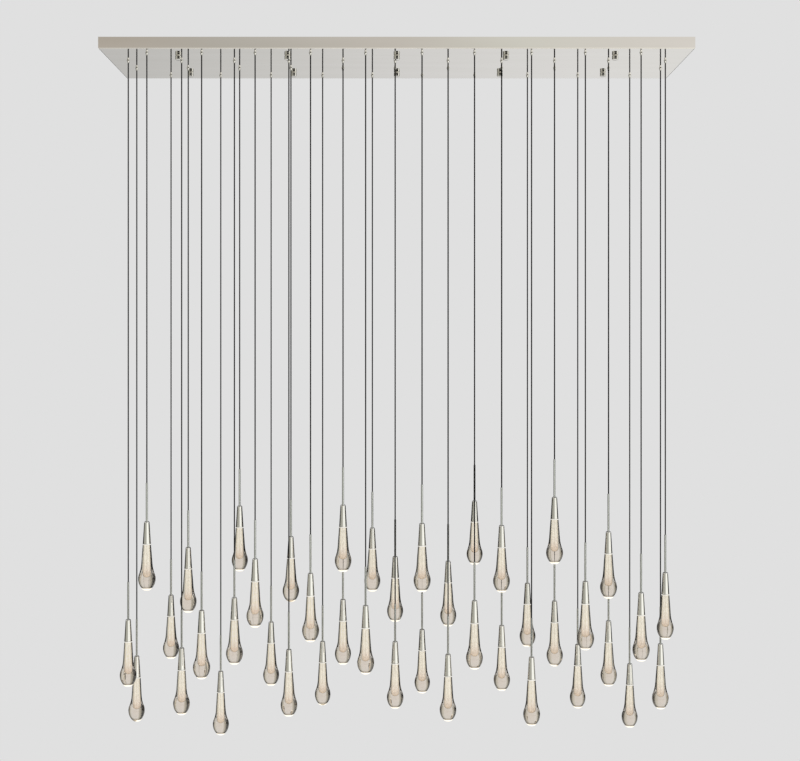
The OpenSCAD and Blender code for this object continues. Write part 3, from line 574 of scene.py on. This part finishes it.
# Earth terminal: a pressed brass ring lug with a washer, locked by a brass nut on the earth stud, which
# is welded to the pan.
earth = bmesh.new()
earth_middle = Vector((-0.070, 0.012, floor_z))
add_copies(earth, turn([(2.6, 0), (6, 0), (6, 1), (2.6, 1)], 24), [earth_middle])
add_copies(earth, turn([(2.6, 1), (5, 1), (5, 2.2), (2.6, 2.2)], 24), [earth_middle])
add_copies(earth, rounded_box((7, 4, 1.2), (7.6, 0, 1.6), 0.3), [earth_middle])
add_copies(earth, hexagon_nut(8, 5.2, 4), [earth_middle + Vector((0, 0, 2.2 * mm))])
add_piece("earth_lug", earth, [brass], "canopy", ["earth_terminal"], 25)


# Drivers: two white polycarbonate cases, each moulded as a tray and a ribbed lid that clips on, with a
# fixing tab at each end. Spark-eroded moulds leave a fine even grain.
driver_case, tree, shader = start_material("moulded white polycarbonate")
grain = add_node(
    tree, "ShaderNodeTexNoise", {"Vector": texture_place(tree, (1, 1, 1)), "Scale": 900.0, "Detail": 2.0}
)
case_tone = add_node(
    tree, "ShaderNodeValToRGB", {"Fac": grain.outputs["Fac"]}, stops=[(0.3, "#E3E3E0"), (0.7, "#EDEDEB")]
)
tree.links.new(case_tone.outputs["Color"], shader.inputs["Base Color"])
shader.inputs["Roughness"].default_value = 0.5
shader.inputs["IOR"].default_value = 1.58
eroded = add_node(
    tree, "ShaderNodeBump", {"Height": grain.outputs["Fac"], "Distance": 0.05 * mm, "Strength": 0.4}
)
tree.links.new(eroded.outputs["Normal"], shader.inputs["Normal"])
case = bmesh.new()
add_copies(case, rounded_box((290, 42, 13), (0, 0, 6.5), 1.5, 3), [Vector()])
add_copies(case, rounded_box((289, 41, 8), (0, 0, 15.4), 3, 4), [Vector()])
add_copies(case, rounded_box((320, 34, 3), (0, 0, 1.5), 1, 2), [Vector()])
rib = rounded_box((2, 30, 1.2), (0, 0, 19.2), 0.5, 2)
rib_pitch = 8 * mm
add_copies(case, rib, [Vector((x * rib_pitch, 0, 0)) for x in range(-12, 13)])
for name, side in (("left", -1), ("right", 1)):
    driver = bmesh.new()
    add_copies(driver, case, [Vector((side * driver_x, 0, floor_z))])
    add_piece(f"driver_case_{name}", driver, [driver_case], "canopy", [f"driver_{name}"])


# Leads: round PVC-sheathed leads in black from the mains block, and in dark red from the drivers to the
# strips. The PVC comes smooth from the die, with a soft shine and a faintly uneven red.
low_voltage_sheath, tree, shader = start_material("extruded dark red PVC sheath")
sheen = add_node(
    tree, "ShaderNodeTexNoise", {"Vector": texture_place(tree, (1, 1, 1)), "Scale": 120.0, "Detail": 2.0}
)
lead_tone = add_node(
    tree, "ShaderNodeValToRGB", {"Fac": sheen.outputs["Fac"]}, stops=[(0.3, "#6E1F20"), (0.7, "#832A29")]
)
tree.links.new(lead_tone.outputs["Color"], shader.inputs["Base Color"])
shader.inputs["Roughness"].default_value = 0.4
shader.inputs["IOR"].default_value = 1.53
finish_nodes(cord_sheath, "mains_leads")
finish_nodes(low_voltage_sheath, "low_voltage_leads")


# Canopy nuts: ten round nuts turned from brass and polished, screwed on the studs from below with the
# fingers. Each has a narrow step that bears on the sheet and a shallow groove round its middle.
nut_profile = [
    (3.05, -0.1), (8.5, -0.1), (8.5, -0.8), (8.9, -1.0), (9.4, -1.4), (9.5, -1.8), (9.5, -2.1),
    (9.5, -6.8), (9.35, -7.0), (9.35, -7.6), (9.5, -7.8), (9.5, -12.1), (9.5, -12.4), (9.1, -12.9),
    (8.6, -13.0), (0, -13.0), (0, -11.5), (3.05, -11.5),
]
for side_name, y in (("front", -rail_y), ("rear", rail_y)):
    for number in range(1, 6):
        nut = bmesh.new()
        nut_place = Vector(((number - 3) * stud_pitch, y, -canopy_height))
        add_copies(nut, turn(nut_profile, 48), [nut_place])
        name = f"canopy_nut_{side_name}_{number}"
        add_piece(
            f"round_nut_{side_name}_{number}", nut, [bright_nickel], name, [name]
        )


# Stems: nickel-plated steel tubes that the cords run into. Each is closed at the top round the cord,
# passes through the cap and is locked inside it by a nut. The plate over the drawn tube is a little
# duller than on the caps.
satin_nickel, tree, shader = start_material("nickel plate on drawn tube")
drawing = add_node(
    tree,
    "ShaderNodeTexNoise",
    {"Vector": texture_place(tree, (900, 900, 20)), "Scale": 1.0, "Detail": 2.0},
)
tube_tone = add_node(
    tree,
    "ShaderNodeValToRGB",
    {"Fac": drawing.outputs["Fac"]},
    stops=[(0.3, "#D8DBDA"), (0.7, "#E2E5E3")],
)
tree.links.new(tube_tone.outputs["Color"], shader.inputs["Base Color"])
draw_gloss = add_node(
    tree, "ShaderNodeMapRange", {"Value": drawing.outputs["Fac"], "To Min": 0.10, "To Max": 0.20}
)
tree.links.new(draw_gloss.outputs["Result"], shader.inputs["Roughness"])
shader.inputs["Metallic"].default_value = 1.0
stem_profile = [
    (2.3, 120), (2.8, 120), (3.1, 119.8), (3.25, 119.4), (3.25, 119.0), (3.25, 114.2), (3.1, 114.0),
    (3.1, 113.4), (3.25, 113.2), (3.25, 0.9), (4.4, 0.8), (4.6, 0.5), (4.6, 0), (3.25, 0), (3.25, -9),
    (2.45, -9), (2.45, 117), (2.3, 117),
]
stem = turn(stem_profile, 24)
add_copies(stem, hexagon_nut(10, 6.7, 4), [Vector((0, 0, -7 * mm))])
for row in hanging:
    stems = bmesh.new()
    add_copies(stems, stem, cap_tops(row))
    name = f"stems_row_{row}"
    add_piece(f"tube_stems_{row}", stems, [satin_nickel], f"row_{row}", [name])


# Caps: tapered shells turned from brass bar, polished and nickel plated, with a rounded shoulder and a
# fine bead round the mouth that holds the glass.
cap_profile = [
    (3.35, 0), (5.25, 0), (6.4, -0.25), (7.4, -0.9), (8.0, -1.8), (8.28, -3), (8.35, -4), (9.46, -22),
    (10.63, -41), (11.81, -60), (12.35, -68.4), (12.75, -68.8), (12.8, -69.4), (12.5, -70), (11.3, -70),
    (9.8, -45), (8.2, -18), (7.2, -3), (3.35, -3),
]
cap_shell = turn(cap_profile, 40)
for row in hanging:
    caps = bmesh.new()
    add_copies(caps, cap_shell, cap_tops(row))
    name = f"caps_row_{row}"
    add_piece(f"turned_caps_{row}", caps, [bright_nickel], f"row_{row}", [name])


# Lamps: an aluminium heat slug, ribbed on a lathe and pressed into each cap, with a white circuit board
# and a small light-emitting dome under it that shines down into the glass. Fine lathe rings give the
# aluminium a soft silver shine.
turned_aluminium, tree, shader = start_material("turned aluminium")
lathe_rings = add_node(
    tree,
    "ShaderNodeTexNoise",
    {"Vector": texture_place(tree, (30, 30, 1500)), "Scale": 1.0, "Detail": 1.0},
)
aluminium_tone = add_node(
    tree,
    "ShaderNodeValToRGB",
    {"Fac": lathe_rings.outputs["Fac"]},
    stops=[(0.3, "#B9BBBE"), (0.7, "#D6D8DA")],
)
tree.links.new(aluminium_tone.outputs["Color"], shader.inputs["Base Color"])
shader.inputs["Roughness"].default_value = 0.35
shader.inputs["Metallic"].default_value = 1.0
# Solder resist is a smooth white enamel
board_white, tree, shader = start_material("white solder resist")
resist = add_node(
    tree, "ShaderNodeTexNoise", {"Vector": texture_place(tree, (1, 1, 1)), "Scale": 500.0, "Detail": 1.0}
)
resist_tone = add_node(
    tree,
    "ShaderNodeValToRGB",
    {"Fac": resist.outputs["Fac"]},
    stops=[(0.3, "#E9E9E4"), (0.7, "#F3F3EF")],
)
tree.links.new(resist_tone.outputs["Color"], shader.inputs["Base Color"])
shader.inputs["Roughness"].default_value = 0.35
# Phosphor under clear silicone: yellow when off, warm white when lit
phosphor, tree, shader = start_material("phosphor under silicone")
phosphor_grain = add_node(
    tree,
    "ShaderNodeTexNoise",
    {"Vector": texture_place(tree, (1, 1, 1)), "Scale": 1500.0, "Detail": 1.0},
)
phosphor_tone = add_node(
    tree,
    "ShaderNodeValToRGB",
    {"Fac": phosphor_grain.outputs["Fac"]},
    stops=[(0.3, "#E8C95A"), (0.7, "#F4DE86")],
)
tree.links.new(phosphor_tone.outputs["Color"], shader.inputs["Base Color"])
shader.inputs["Roughness"].default_value = 0.15
shader.inputs["Emission Color"].default_value = linear("#FFE9C4")
shader.inputs["Emission Strength"].default_value = 2.0
slug_profile = [(0, -26), (8.2, -26)]
for fin in range(6):
    top = -27 - 3 * fin
    radius = 8.35 + 0.18 * fin
    slug_profile += [(radius, top), (radius, top - 1.6), (7.4, top - 1.7), (7.4, top - 2.9)]
slug_profile += [(9.2, -45.2), (9.2, -45.8), (0, -45.8)]
board_profile = [(0, -45.9), (9.0, -45.9), (9.0, -47.4), (0, -47.4)]
dome_profile = [(0, -47.4), (2.2, -47.4), (2.0, -48.5), (1.3, -49.3), (0, -49.6)]
lamp = turn(slug_profile, 24)
add_copies(lamp, turn(board_profile, 24, 1), [Vector()])
add_copies(lamp, turn(dome_profile, 16, 2), [Vector()])
for row in hanging:
    lamps = bmesh.new()
    add_copies(lamps, lamp, cap_tops(row))
    add_piece(
        f"lamps_{row}",
        lamps,
        [turned_aluminium, board_white, phosphor],
        f"row_{row}",
        [f"led_modules_row_{row}"],
    )


# Bubble cores: a column of seeded glass, full of fine air bubbles, cased in the clear glass. Its glow is
# painted light: an emission, cream near the cap and turning peach towards its rounded tip, stands in for
# the lamp above lighting it from end to end.
cap_length = 70 * mm
seeded_glass, tree, shader = start_material("seeded glass with painted glow")
depth = add_node(tree, "ShaderNodeAttribute", attribute_name="depth").outputs["Fac"]
# Painted glow: the colour fades with depth below the cap, from cream to peach
painted_glow = add_node(
    tree,
    "ShaderNodeValToRGB",
    {"Fac": depth},
    stops=[(0.0, "#F8F6EC"), (0.5, "#FBF7EB"), (0.8, "#F2E8DD"), (1.0, "#DDD3C8")],
).outputs["Color"]
# Painted shade: the column's colour darkens towards its sides, where its surface is seen edge-on, and a
# trace along its very middle
column_side = add_node(tree, "ShaderNodeLayerWeight", {"Blend": 0.5}).outputs["Facing"]
painted_side_shade = add_node(
    tree,
    "ShaderNodeValToRGB",
    {"Fac": column_side},
    stops=[(0.0, "#EEECE8"), (0.07, "#FFFFFF"), (0.5, "#F2EEE6"), (0.66, "#B8B3A9"), (0.85, "#5A564F")],
).outputs["Color"]
# On a Mix node for colours, inputs 6 and 7 are the two colours and output 2 is the result
painted_glow = add_node(
    tree,
    "ShaderNodeMix",
    {"Factor": 1.0, 6: painted_glow, 7: painted_side_shade},
    data_type="RGBA",
    blend_type="MULTIPLY",
).outputs[2]
# Bubbles about 1.2 mm across, each a dark rim round a light middle; finer ones wouldn't show
bubbles = add_node(
    tree,
    "ShaderNodeTexVoronoi",
    {"Vector": texture_place(tree, (1, 1, 0.7)), "Scale": 700.0, "Randomness": 1.0},
)
rims = add_node(
    tree,
    "ShaderNodeValToRGB",
    {"Fac": bubbles.outputs["Distance"]},
    stops=[(0.0, "#FFFFFF"), (0.35, "#F4F0EA"), (0.6, "#B9AFA3"), (0.85, "#FFFFFF")],
).outputs["Color"]
seeded = add_node(
    tree,
    "ShaderNodeMix",
    {"Factor": 0.75, 6: painted_glow, 7: rims},
    data_type="RGBA",
    blend_type="MULTIPLY",
).outputs[2]
tree.links.new(seeded, shader.inputs["Base Color"])
# The emission is painted light that stands in for the lamp's light in the column
tree.links.new(seeded, shader.inputs["Emission Color"])
shader.inputs["Emission Strength"].default_value = 0.74
shader.inputs["Roughness"].default_value = 0.3

random.seed(4)
# In millimetres. The column widens evenly down to where its tip begins to round.
mouth_radius = 6.3
widening = 2.6 / 94
core_length = 104
core = turn(
    [(0, 19.5), (6.3, 19.5), (6.5, 16), (6.4, 8)]
    + [(mouth_radius + widening * below, -below) for below in range(0, 96, 4)]
    + [(8.6, -97.4), (7.7, -99.9), (5.6, -102.1), (3.1, -103.5), (0, -core_length)],
    24,
)
depth_layer = core.verts.layers.float.new("depth")
for vert in core.verts:
    vert[depth_layer] = min(1.0, max(0.0, -vert.co.z / (core_length * mm)))
    vert.co.xy *= random.uniform(0.95, 1.0)

# Larger bubbles stand off the column in the clear glass round it. Their depth attribute stays at 0, so
# they carry the same painted glow as the column's top.
bubble = bmesh.new()
bmesh.ops.create_icosphere(bubble, subdivisions=1, radius=1.0)
for face in bubble.faces:
    face.smooth = True
bubble.verts.layers.float.new("depth")


def bubble_place():
    """A random place and size for one bubble round the column, as a matrix."""
    angle = random.uniform(0, 2 * math.pi)
    below = random.uniform(2, 112)
    spread = (mouth_radius + widening * below + random.uniform(0.1, 2.2)) * mm
    size = random.uniform(0.25, 0.6) * mm
    spot = Vector((spread * math.cos(angle), spread * math.sin(angle), -below * mm))
    return Matrix.Translation(spot) @ Matrix.Diagonal((size, size, 1.3 * size, 1.0))


bubbles_per_drop = 36
for row in hanging:
    cores = bmesh.new()
    cores.verts.layers.float.new("depth")
    for cap in cap_tops(row):
        mouth = Matrix.Translation(cap - Vector((0, 0, cap_length)))
        add_copies(cores, core, [mouth @ Matrix.Rotation(random.uniform(0, 6), 4, "Z")])
        add_copies(cores, bubble, [mouth @ bubble_place() for _ in range(bubbles_per_drop)])
    name = f"bubble_cores_row_{row}"
    add_piece(f"seeded_cores_{row}", cores, [seeded_glass], f"row_{row}", [name], 60)


# Glass drops: solid clear crystal, gathered and shaped by hand, so no two are quite alike. Some necks
# run straight and swell suddenly, others swell slowly. Crystal is colourless; its edges look dark partly
# because they bend the light away to the dim sides of the room, and partly by painted shade: the glass's
# colour darkens where its surface is seen edge-on.
clear_crystal, tree, shader = start_material("clear crystal glass")
facing = add_node(tree, "ShaderNodeLayerWeight", {"Blend": 0.5}).outputs["Facing"]
depth = add_node(tree, "ShaderNodeAttribute", attribute_name="depth").outputs["Fac"]
# Painted shade: the glass's colour darkens towards its edges, a little differently in the neck and the
# bulb
neck_painted_edge_shade = add_node(
    tree,
    "ShaderNodeValToRGB",
    {"Fac": facing},
    stops=[(0.20, "#FFFFFF"), (0.32, "#DEDBD2"), (0.45, "#8E8B80"), (0.62, "#2A2824")],
).outputs["Color"]
bulb_painted_edge_shade = add_node(
    tree,
    "ShaderNodeValToRGB",
    {"Fac": facing},
    stops=[(0.0, "#F0E4D7"), (0.34, "#F0EAE0"), (0.50, "#B8B2A7"), (0.70, "#3A3631")],
).outputs["Color"]
in_bulb = add_node(
    tree,
    "ShaderNodeMapRange",
    {"Value": depth, "From Min": 0.5, "From Max": 0.68},
    interpolation_type="SMOOTHSTEP",
).outputs["Result"]
glass_painted_shade = add_node(
    tree, "ShaderNodeMix", {"Factor": in_bulb, 6: neck_painted_edge_shade, 7: bulb_painted_edge_shade}, data_type="RGBA"
).outputs[2]
# Painted shade: a dark line painted just above the foot, where the glass curves in steeply
painted_foot_line = add_node(
    tree,
    "ShaderNodeValToRGB",
    {"Fac": depth},
    stops=[(0.895, "#FFFFFF"), (0.92, "#C4BCB2"), (0.95, "#CFC8BE")],
).outputs["Color"]
glass_painted_shade = add_node(
    tree,
    "ShaderNodeMix",
    {"Factor": 1.0, 6: glass_painted_shade, 7: painted_foot_line},
    data_type="RGBA",
    blend_type="MULTIPLY",
).outputs[2]
tree.links.new(glass_painted_shade, shader.inputs["Base Color"])
shader.inputs["Roughness"].default_value = 0.0
shader.inputs["IOR"].default_value = 1.52
shader.inputs["Transmission Weight"].default_value = 1.0

# Depth below the mouth of the cap and radius, in millimetres
slender_neck = [
    (0, 12.4), (15, 13.6), (30, 14.8), (45, 16.0), (57, 16.9),
    (63, 17.4), (70, 18.2), (76, 19.2), (82, 20.6), (88, 22.3),
]
shouldered_neck = [
    (0, 12.4), (16, 13.4), (28, 14.2), (40, 15.0), (52, 15.8),
    (62, 16.5), (70, 17.5), (76, 18.5), (82, 20.1), (88, 22.0),
]
bulb = [
    (94, 24.6), (98, 25.8), (102, 26.6), (106, 26.95), (110, 26.95),
    (114, 26.6), (118, 25.8), (122, 24.7), (126, 23.1), (130, 21.0),
    (133.5, 18.7), (136.5, 16.3), (139, 13.8), (141.2, 11.1), (142.6, 8.8),
]
spigot = [(0, 19.8), (9.3, 19.8), (9.7, 19.2), (9.7, 0.2)]
glass_length = 143


def drop_shape(neck):
    """A drop with its mouth at Z = 0; its depth attribute runs from 0 there to 1 at the foot."""
    outline = [(radius, -below) for below, radius in neck + bulb]
    shape = turn(spigot + outline + [(8.0, -glass_length), (0, -glass_length)], 48)
    layer = shape.verts.layers.float.new("depth")
    for vert in shape.verts:
        vert[layer] = min(1.0, max(0.0, -vert.co.z / (glass_length * mm)))
    return shape


slender_drop = drop_shape(slender_neck)
shouldered_drop = drop_shape(shouldered_neck)
# The places of the shouldered drops in each row, counted from 0 at the left
shouldered_drops = {1: (1, 2, 3), 2: (0, 1, 5, 6), 3: (0, 4, 7, 8), 4: (1, 3, 5)}


worked_depth = 90 * mm


def worked_by_hand(whole, first, mouth):
    """Flattens and leans one drop a little, as hand shaping does; the mouth stays round."""
    across = random.uniform(0.965, 1.0)
    along = random.uniform(0.965, 1.0)
    lean = Vector((random.uniform(-0.6, 0.6) * mm, random.uniform(-0.6, 0.6) * mm))
    for vert in whole.verts[first:]:
        share = min(1.0, max(0.0, (mouth.z - vert.co.z) / worked_depth))
        vert.co.x = mouth.x + (vert.co.x - mouth.x) * (1 + (across - 1) * share) + lean.x * share**2
        vert.co.y = mouth.y + (vert.co.y - mouth.y) * (1 + (along - 1) * share) + lean.y * share**2


for row in hanging:
    drops = bmesh.new()
    drops.verts.layers.float.new("depth")
    for i, cap in enumerate(cap_tops(row)):
        mouth = cap - Vector((0, 0, cap_length))
        first = len(drops.verts)
        add_copies(drops, shouldered_drop if i in shouldered_drops[row] else slender_drop, [mouth])
        worked_by_hand(drops, first, mouth)
    name = f"glass_drops_row_{row}"
    add_piece(f"crystal_drops_{row}", drops, [clear_crystal], f"row_{row}", [name], 60)


# Glowing feet: the flat foot of each drop is ground and acid-frosted and shows as a cream crescent; its
# glow is painted light, an emission that stands in for the light that runs down the glass. A thin white
# seal between cap and glass shows as a fine bright line: the white is its own, its faint glow is painted
# light.
frosted_foot_painted_glow, tree, shader = start_material("acid-frosted glass foot with painted glow")
frost = add_node(
    tree, "ShaderNodeTexNoise", {"Vector": texture_place(tree, (1, 1, 1)), "Scale": 600.0, "Detail": 3.0}
)
frost_and_glow_colour = add_node(
    tree, "ShaderNodeValToRGB", {"Fac": frost.outputs["Fac"]}, stops=[(0.3, "#FFF3DC"), (0.7, "#FFFAEE")]
).outputs["Color"]
tree.links.new(frost_and_glow_colour, shader.inputs["Base Color"])
tree.links.new(frost_and_glow_colour, shader.inputs["Emission Color"])
# The emission is painted light that stands in for the light running down the glass
shader.inputs["Emission Strength"].default_value = 0.68
shader.inputs["Roughness"].default_value = 0.6
foot_profile = [
    (0, -142.6), (8.6, -142.4), (11.0, -140.9), (13.6, -138.8), (16.1, -136.3), (16.6, -136.0),
    (16.4, -136.7), (14.0, -139.1), (11.3, -141.4), (9.0, -142.8), (8.2, -143.0), (0, -143.0),
]
foot = turn(foot_profile, 40)

seal_with_painted_glow, tree, shader = start_material("white silicone seal")
seal_grain = add_node(
    tree, "ShaderNodeTexNoise", {"Vector": texture_place(tree, (1, 1, 1)), "Scale": 200.0, "Detail": 1.0}
)
seal_tone = add_node(
    tree,
    "ShaderNodeValToRGB",
    {"Fac": seal_grain.outputs["Fac"]},
    stops=[(0.3, "#F1EFEA"), (0.7, "#FAF9F6")],
)
tree.links.new(seal_tone.outputs["Color"], shader.inputs["Base Color"])
shader.inputs["Roughness"].default_value = 0.5
# The seal's white is its own; its faint emission is painted light for a fine bright line
shader.inputs["Emission Color"].default_value = linear("#FFF6E6")
shader.inputs["Emission Strength"].default_value = 0.2
seal = turn([(12.4, 0.2), (12.95, 0.1), (13.1, -0.9), (12.95, -1.9), (12.5, -2.0)], 40)
for row in hanging:
    mouths = [cap - Vector((0, 0, cap_length)) for cap in cap_tops(row)]
    feet = bmesh.new()
    add_copies(feet, foot, mouths)
    name = f"glass_drops_row_{row}"
    add_piece(f"frosted_feet_{row}", feet, [frosted_foot_painted_glow], f"row_{row}", [name], 60)
    seals = bmesh.new()
    add_copies(seals, seal, mouths)
    add_piece(f"cap_seals_{row}", seals, [seal_with_painted_glow], f"row_{row}", [name], 60)


# Studio: a plain pale floor below the drops, soft light, and a flat pale grey background all round.
# Metal and glass also see dim screens and a bright window at the sides, without which polished parts
# would look like paint.
background = "#E0E0E0"


def stage_light(name, place, target, size, power):
    """A soft square lamp that lights but isn't seen."""
    data = bpy.data.lights.new(name, "AREA")
    data.size = size
    data.energy = power
    lamp_object = bpy.data.objects.new(name, data)
    lamp_object.location = place
    lamp_object.rotation_euler = (Vector(target) - Vector(place)).to_track_quat("-Z", "Y").to_euler()
    lamp_object.visible_camera = lamp_object.visible_glossy = lamp_object.visible_transmission = False
    scene.collection.objects.link(lamp_object)


stage_light("key_light", (2.4, -3.2, 0.6), (0, 0, -1.0), 2.5, 60)
stage_light("fill_light", (-2.6, 2.2, 0.8), (0, 0, -1.0), 2.5, 25)

floor_level = -2.9
floor_radius = 2.0
pale_floor, tree, shader = start_material("pale matt floor")
shader.inputs["Base Color"].default_value = linear("#E6E6E6")
shader.inputs["Roughness"].default_value = 0.9
place = add_node(tree, "ShaderNodeTexCoord").outputs["Object"]
flat_place = add_node(tree, "ShaderNodeMapping", {"Vector": place, "Scale": (1, 1, 0)}).outputs["Vector"]
distance = add_node(tree, "ShaderNodeVectorMath", {0: flat_place}, operation="LENGTH").outputs["Value"]
fade = add_node(
    tree,
    "ShaderNodeMapRange",
    {"Value": distance, "From Min": 0.6, "From Max": floor_radius - 0.05, "To Min": 1.0, "To Max": 0.0},
    interpolation_type="SMOOTHSTEP",
)
tree.links.new(fade.outputs["Result"], shader.inputs["Alpha"])
floor_shape = bmesh.new()
bmesh.ops.create_circle(floor_shape, cap_ends=True, segments=96, radius=floor_radius)
bmesh.ops.translate(floor_shape, vec=(0, 0, floor_level), verts=floor_shape.verts[:])
floor_mesh = bpy.data.meshes.new("studio_floor")
floor_shape.to_mesh(floor_mesh)
floor_shape.free()
floor_mesh.materials.append(pale_floor)
floor = bpy.data.objects.new("studio_floor", floor_mesh)
scene.collection.objects.link(floor)

world = bpy.data.worlds.new("studio")
scene.world = world
world.use_nodes = True
world.cycles.sampling_method = "NONE"
tree = world.node_tree
direction = add_node(tree, "ShaderNodeTexCoord").outputs["Generated"]
parts = add_node(tree, "ShaderNodeSeparateXYZ", {"Vector": direction}).outputs
# The bearing is 0.5 straight behind the object, 0.25 at its left, 0.75 at its right and 0 or 1 in front
# of it
angle = add_node(tree, "ShaderNodeMath", {0: parts["X"], 1: parts["Y"]}, operation="ARCTAN2")
bearing = add_node(
    tree,
    "ShaderNodeMapRange",
    {"Value": angle.outputs["Value"], "From Min": -math.pi, "From Max": math.pi},
).outputs["Result"]
height = parts["Z"]


def round_the_studio(stops):
    """The colours all round the studio, from stops of (degrees, colour code).

    0 degrees is straight behind the object, and a positive bearing is to its right.
    """
    placed = [((degrees + 180) / 360, code) for degrees, code in stops]
    return add_node(tree, "ShaderNodeValToRGB", {"Fac": bearing}, stops=placed).outputs["Color"]


def blend_by_height(below, above, low, high):
    """One set of colours below a height and another above it, with a soft change between the two."""
    share = add_node(
        tree,
        "ShaderNodeMapRange",
        {"Value": height, "From Min": low, "From Max": high},
        interpolation_type="SMOOTHSTEP",
    )
    inputs = {"Factor": share.outputs["Result"], 6: below, 7: above}
    return add_node(tree, "ShaderNodeMix", inputs, data_type="RGBA").outputs[2]


# What polished metal mirrors, by height: level for the caps, a little below for the canopy's underside
# and the fittings under it, a little above for its rim, and further down for the views from above
seen_by_caps = round_the_studio(
    [
        (-180, "#C6C5BE"), (-165, "#B4B3AA"), (-150, "#A8A79D"), (-108, "#A8A79D"), (-97, "#88867C"),
        (-88, "#2A2926"), (-78, "#0C0B0A"), (70, "#0C0B0A"), (82, "#1E1D1B"), (90, "#55544E"),
        (99, "#A8A7A0"), (107, "#FFFFF8"), (164, "#FFFFF8"), (180, "#C6C5BE"),
    ]
)
seen_by_fittings = round_the_studio(
    [
        (-180, "#141312"), (-152, "#141312"), (-144, "#B4B3AA"), (-105, "#B4B3AA"), (-76, "#A3A298"),
        (-66, "#2A2926"), (-26, "#141312"), (-17, "#BEBEBD"), (-11, "#C2C2C1"), (-8, "#C8C8C7"),
        (-4, "#CFCFCE"), (0, "#D7D7D7"), (7, "#E0E0E0"), (12, "#E2E2E1"), (17, "#DEDEDD"),
        (26, "#141312"), (56, "#3A3934"), (70, "#FFFFF8"), (113, "#FFFFF8"), (122, "#141312"),
        (180, "#141312"),
    ]
)
seen_by_rim = round_the_studio(
    [
        (-180, "#C8C4BE"), (-173, "#B9B6B0"), (-168, "#B5AEA5"), (-130, "#C4C0B8"), (-112, "#F4F3F0"),
        (-72, "#F4F3F0"), (-56, "#1E1C1A"), (56, "#1E1C1A"), (72, "#FFFFFF"), (120, "#FFFFFF"),
        (160, "#E8E6E2"), (169, "#DEDBD7"), (172, "#D9D7D2"), (175, "#D5D5CE"), (180, "#C8C4BE"),
    ]
)
seen_from_above = round_the_studio(
    [
        (-180, "#FFFAF0"), (-125, "#8A8984"), (-60, "#6E6D68"), (-20, "#E6E4DF"), (60, "#DAD8D2"),
        (110, "#FFFFF8"), (180, "#FFFAF0"),
    ]
)
seen_by_metal = blend_by_height(seen_by_fittings, seen_by_caps, -0.17, -0.13)
seen_by_metal = blend_by_height(seen_by_metal, seen_by_rim, 0.06, 0.14)
seen_by_metal = blend_by_height(seen_from_above, seen_by_metal, -0.26, -0.22)
seen_by_metal = blend_by_height(seen_by_metal, linear("#2A2623"), 0.56, 0.70)
seen_through_glass = round_the_studio(
    [
        (-180, background), (-122, background), (-112, "#1C1A17"), (-50, "#141311"), (-42, "#2A2824"),
        (-34, "#98968E"), (-26, "#B8B7AE"), (-19, background), (20, background), (27, "#D0CFC8"),
        (35, "#C8C7C0"), (43, "#8C8A82"), (51, "#45433D"), (60, "#2C2A26"), (112, "#2C2A26"),
        (122, background), (180, background),
    ]
)
seen_through_glass = blend_by_height(seen_through_glass, linear("#8C8680"), 0.70, 0.85)
light_path = add_node(tree, "ShaderNodeLightPath").outputs
surroundings = linear("#D2D2D2")
for ray, seen in (
    ("Is Camera Ray", linear(background)),
    ("Is Glossy Ray", seen_by_metal),
    ("Is Transmission Ray", seen_through_glass),
):
    inputs = {"Factor": light_path[ray], 6: surroundings, 7: seen}
    surroundings = add_node(tree, "ShaderNodeMix", inputs, data_type="RGBA").outputs[2]
tree.links.new(surroundings, tree.nodes["Background"].inputs["Color"])
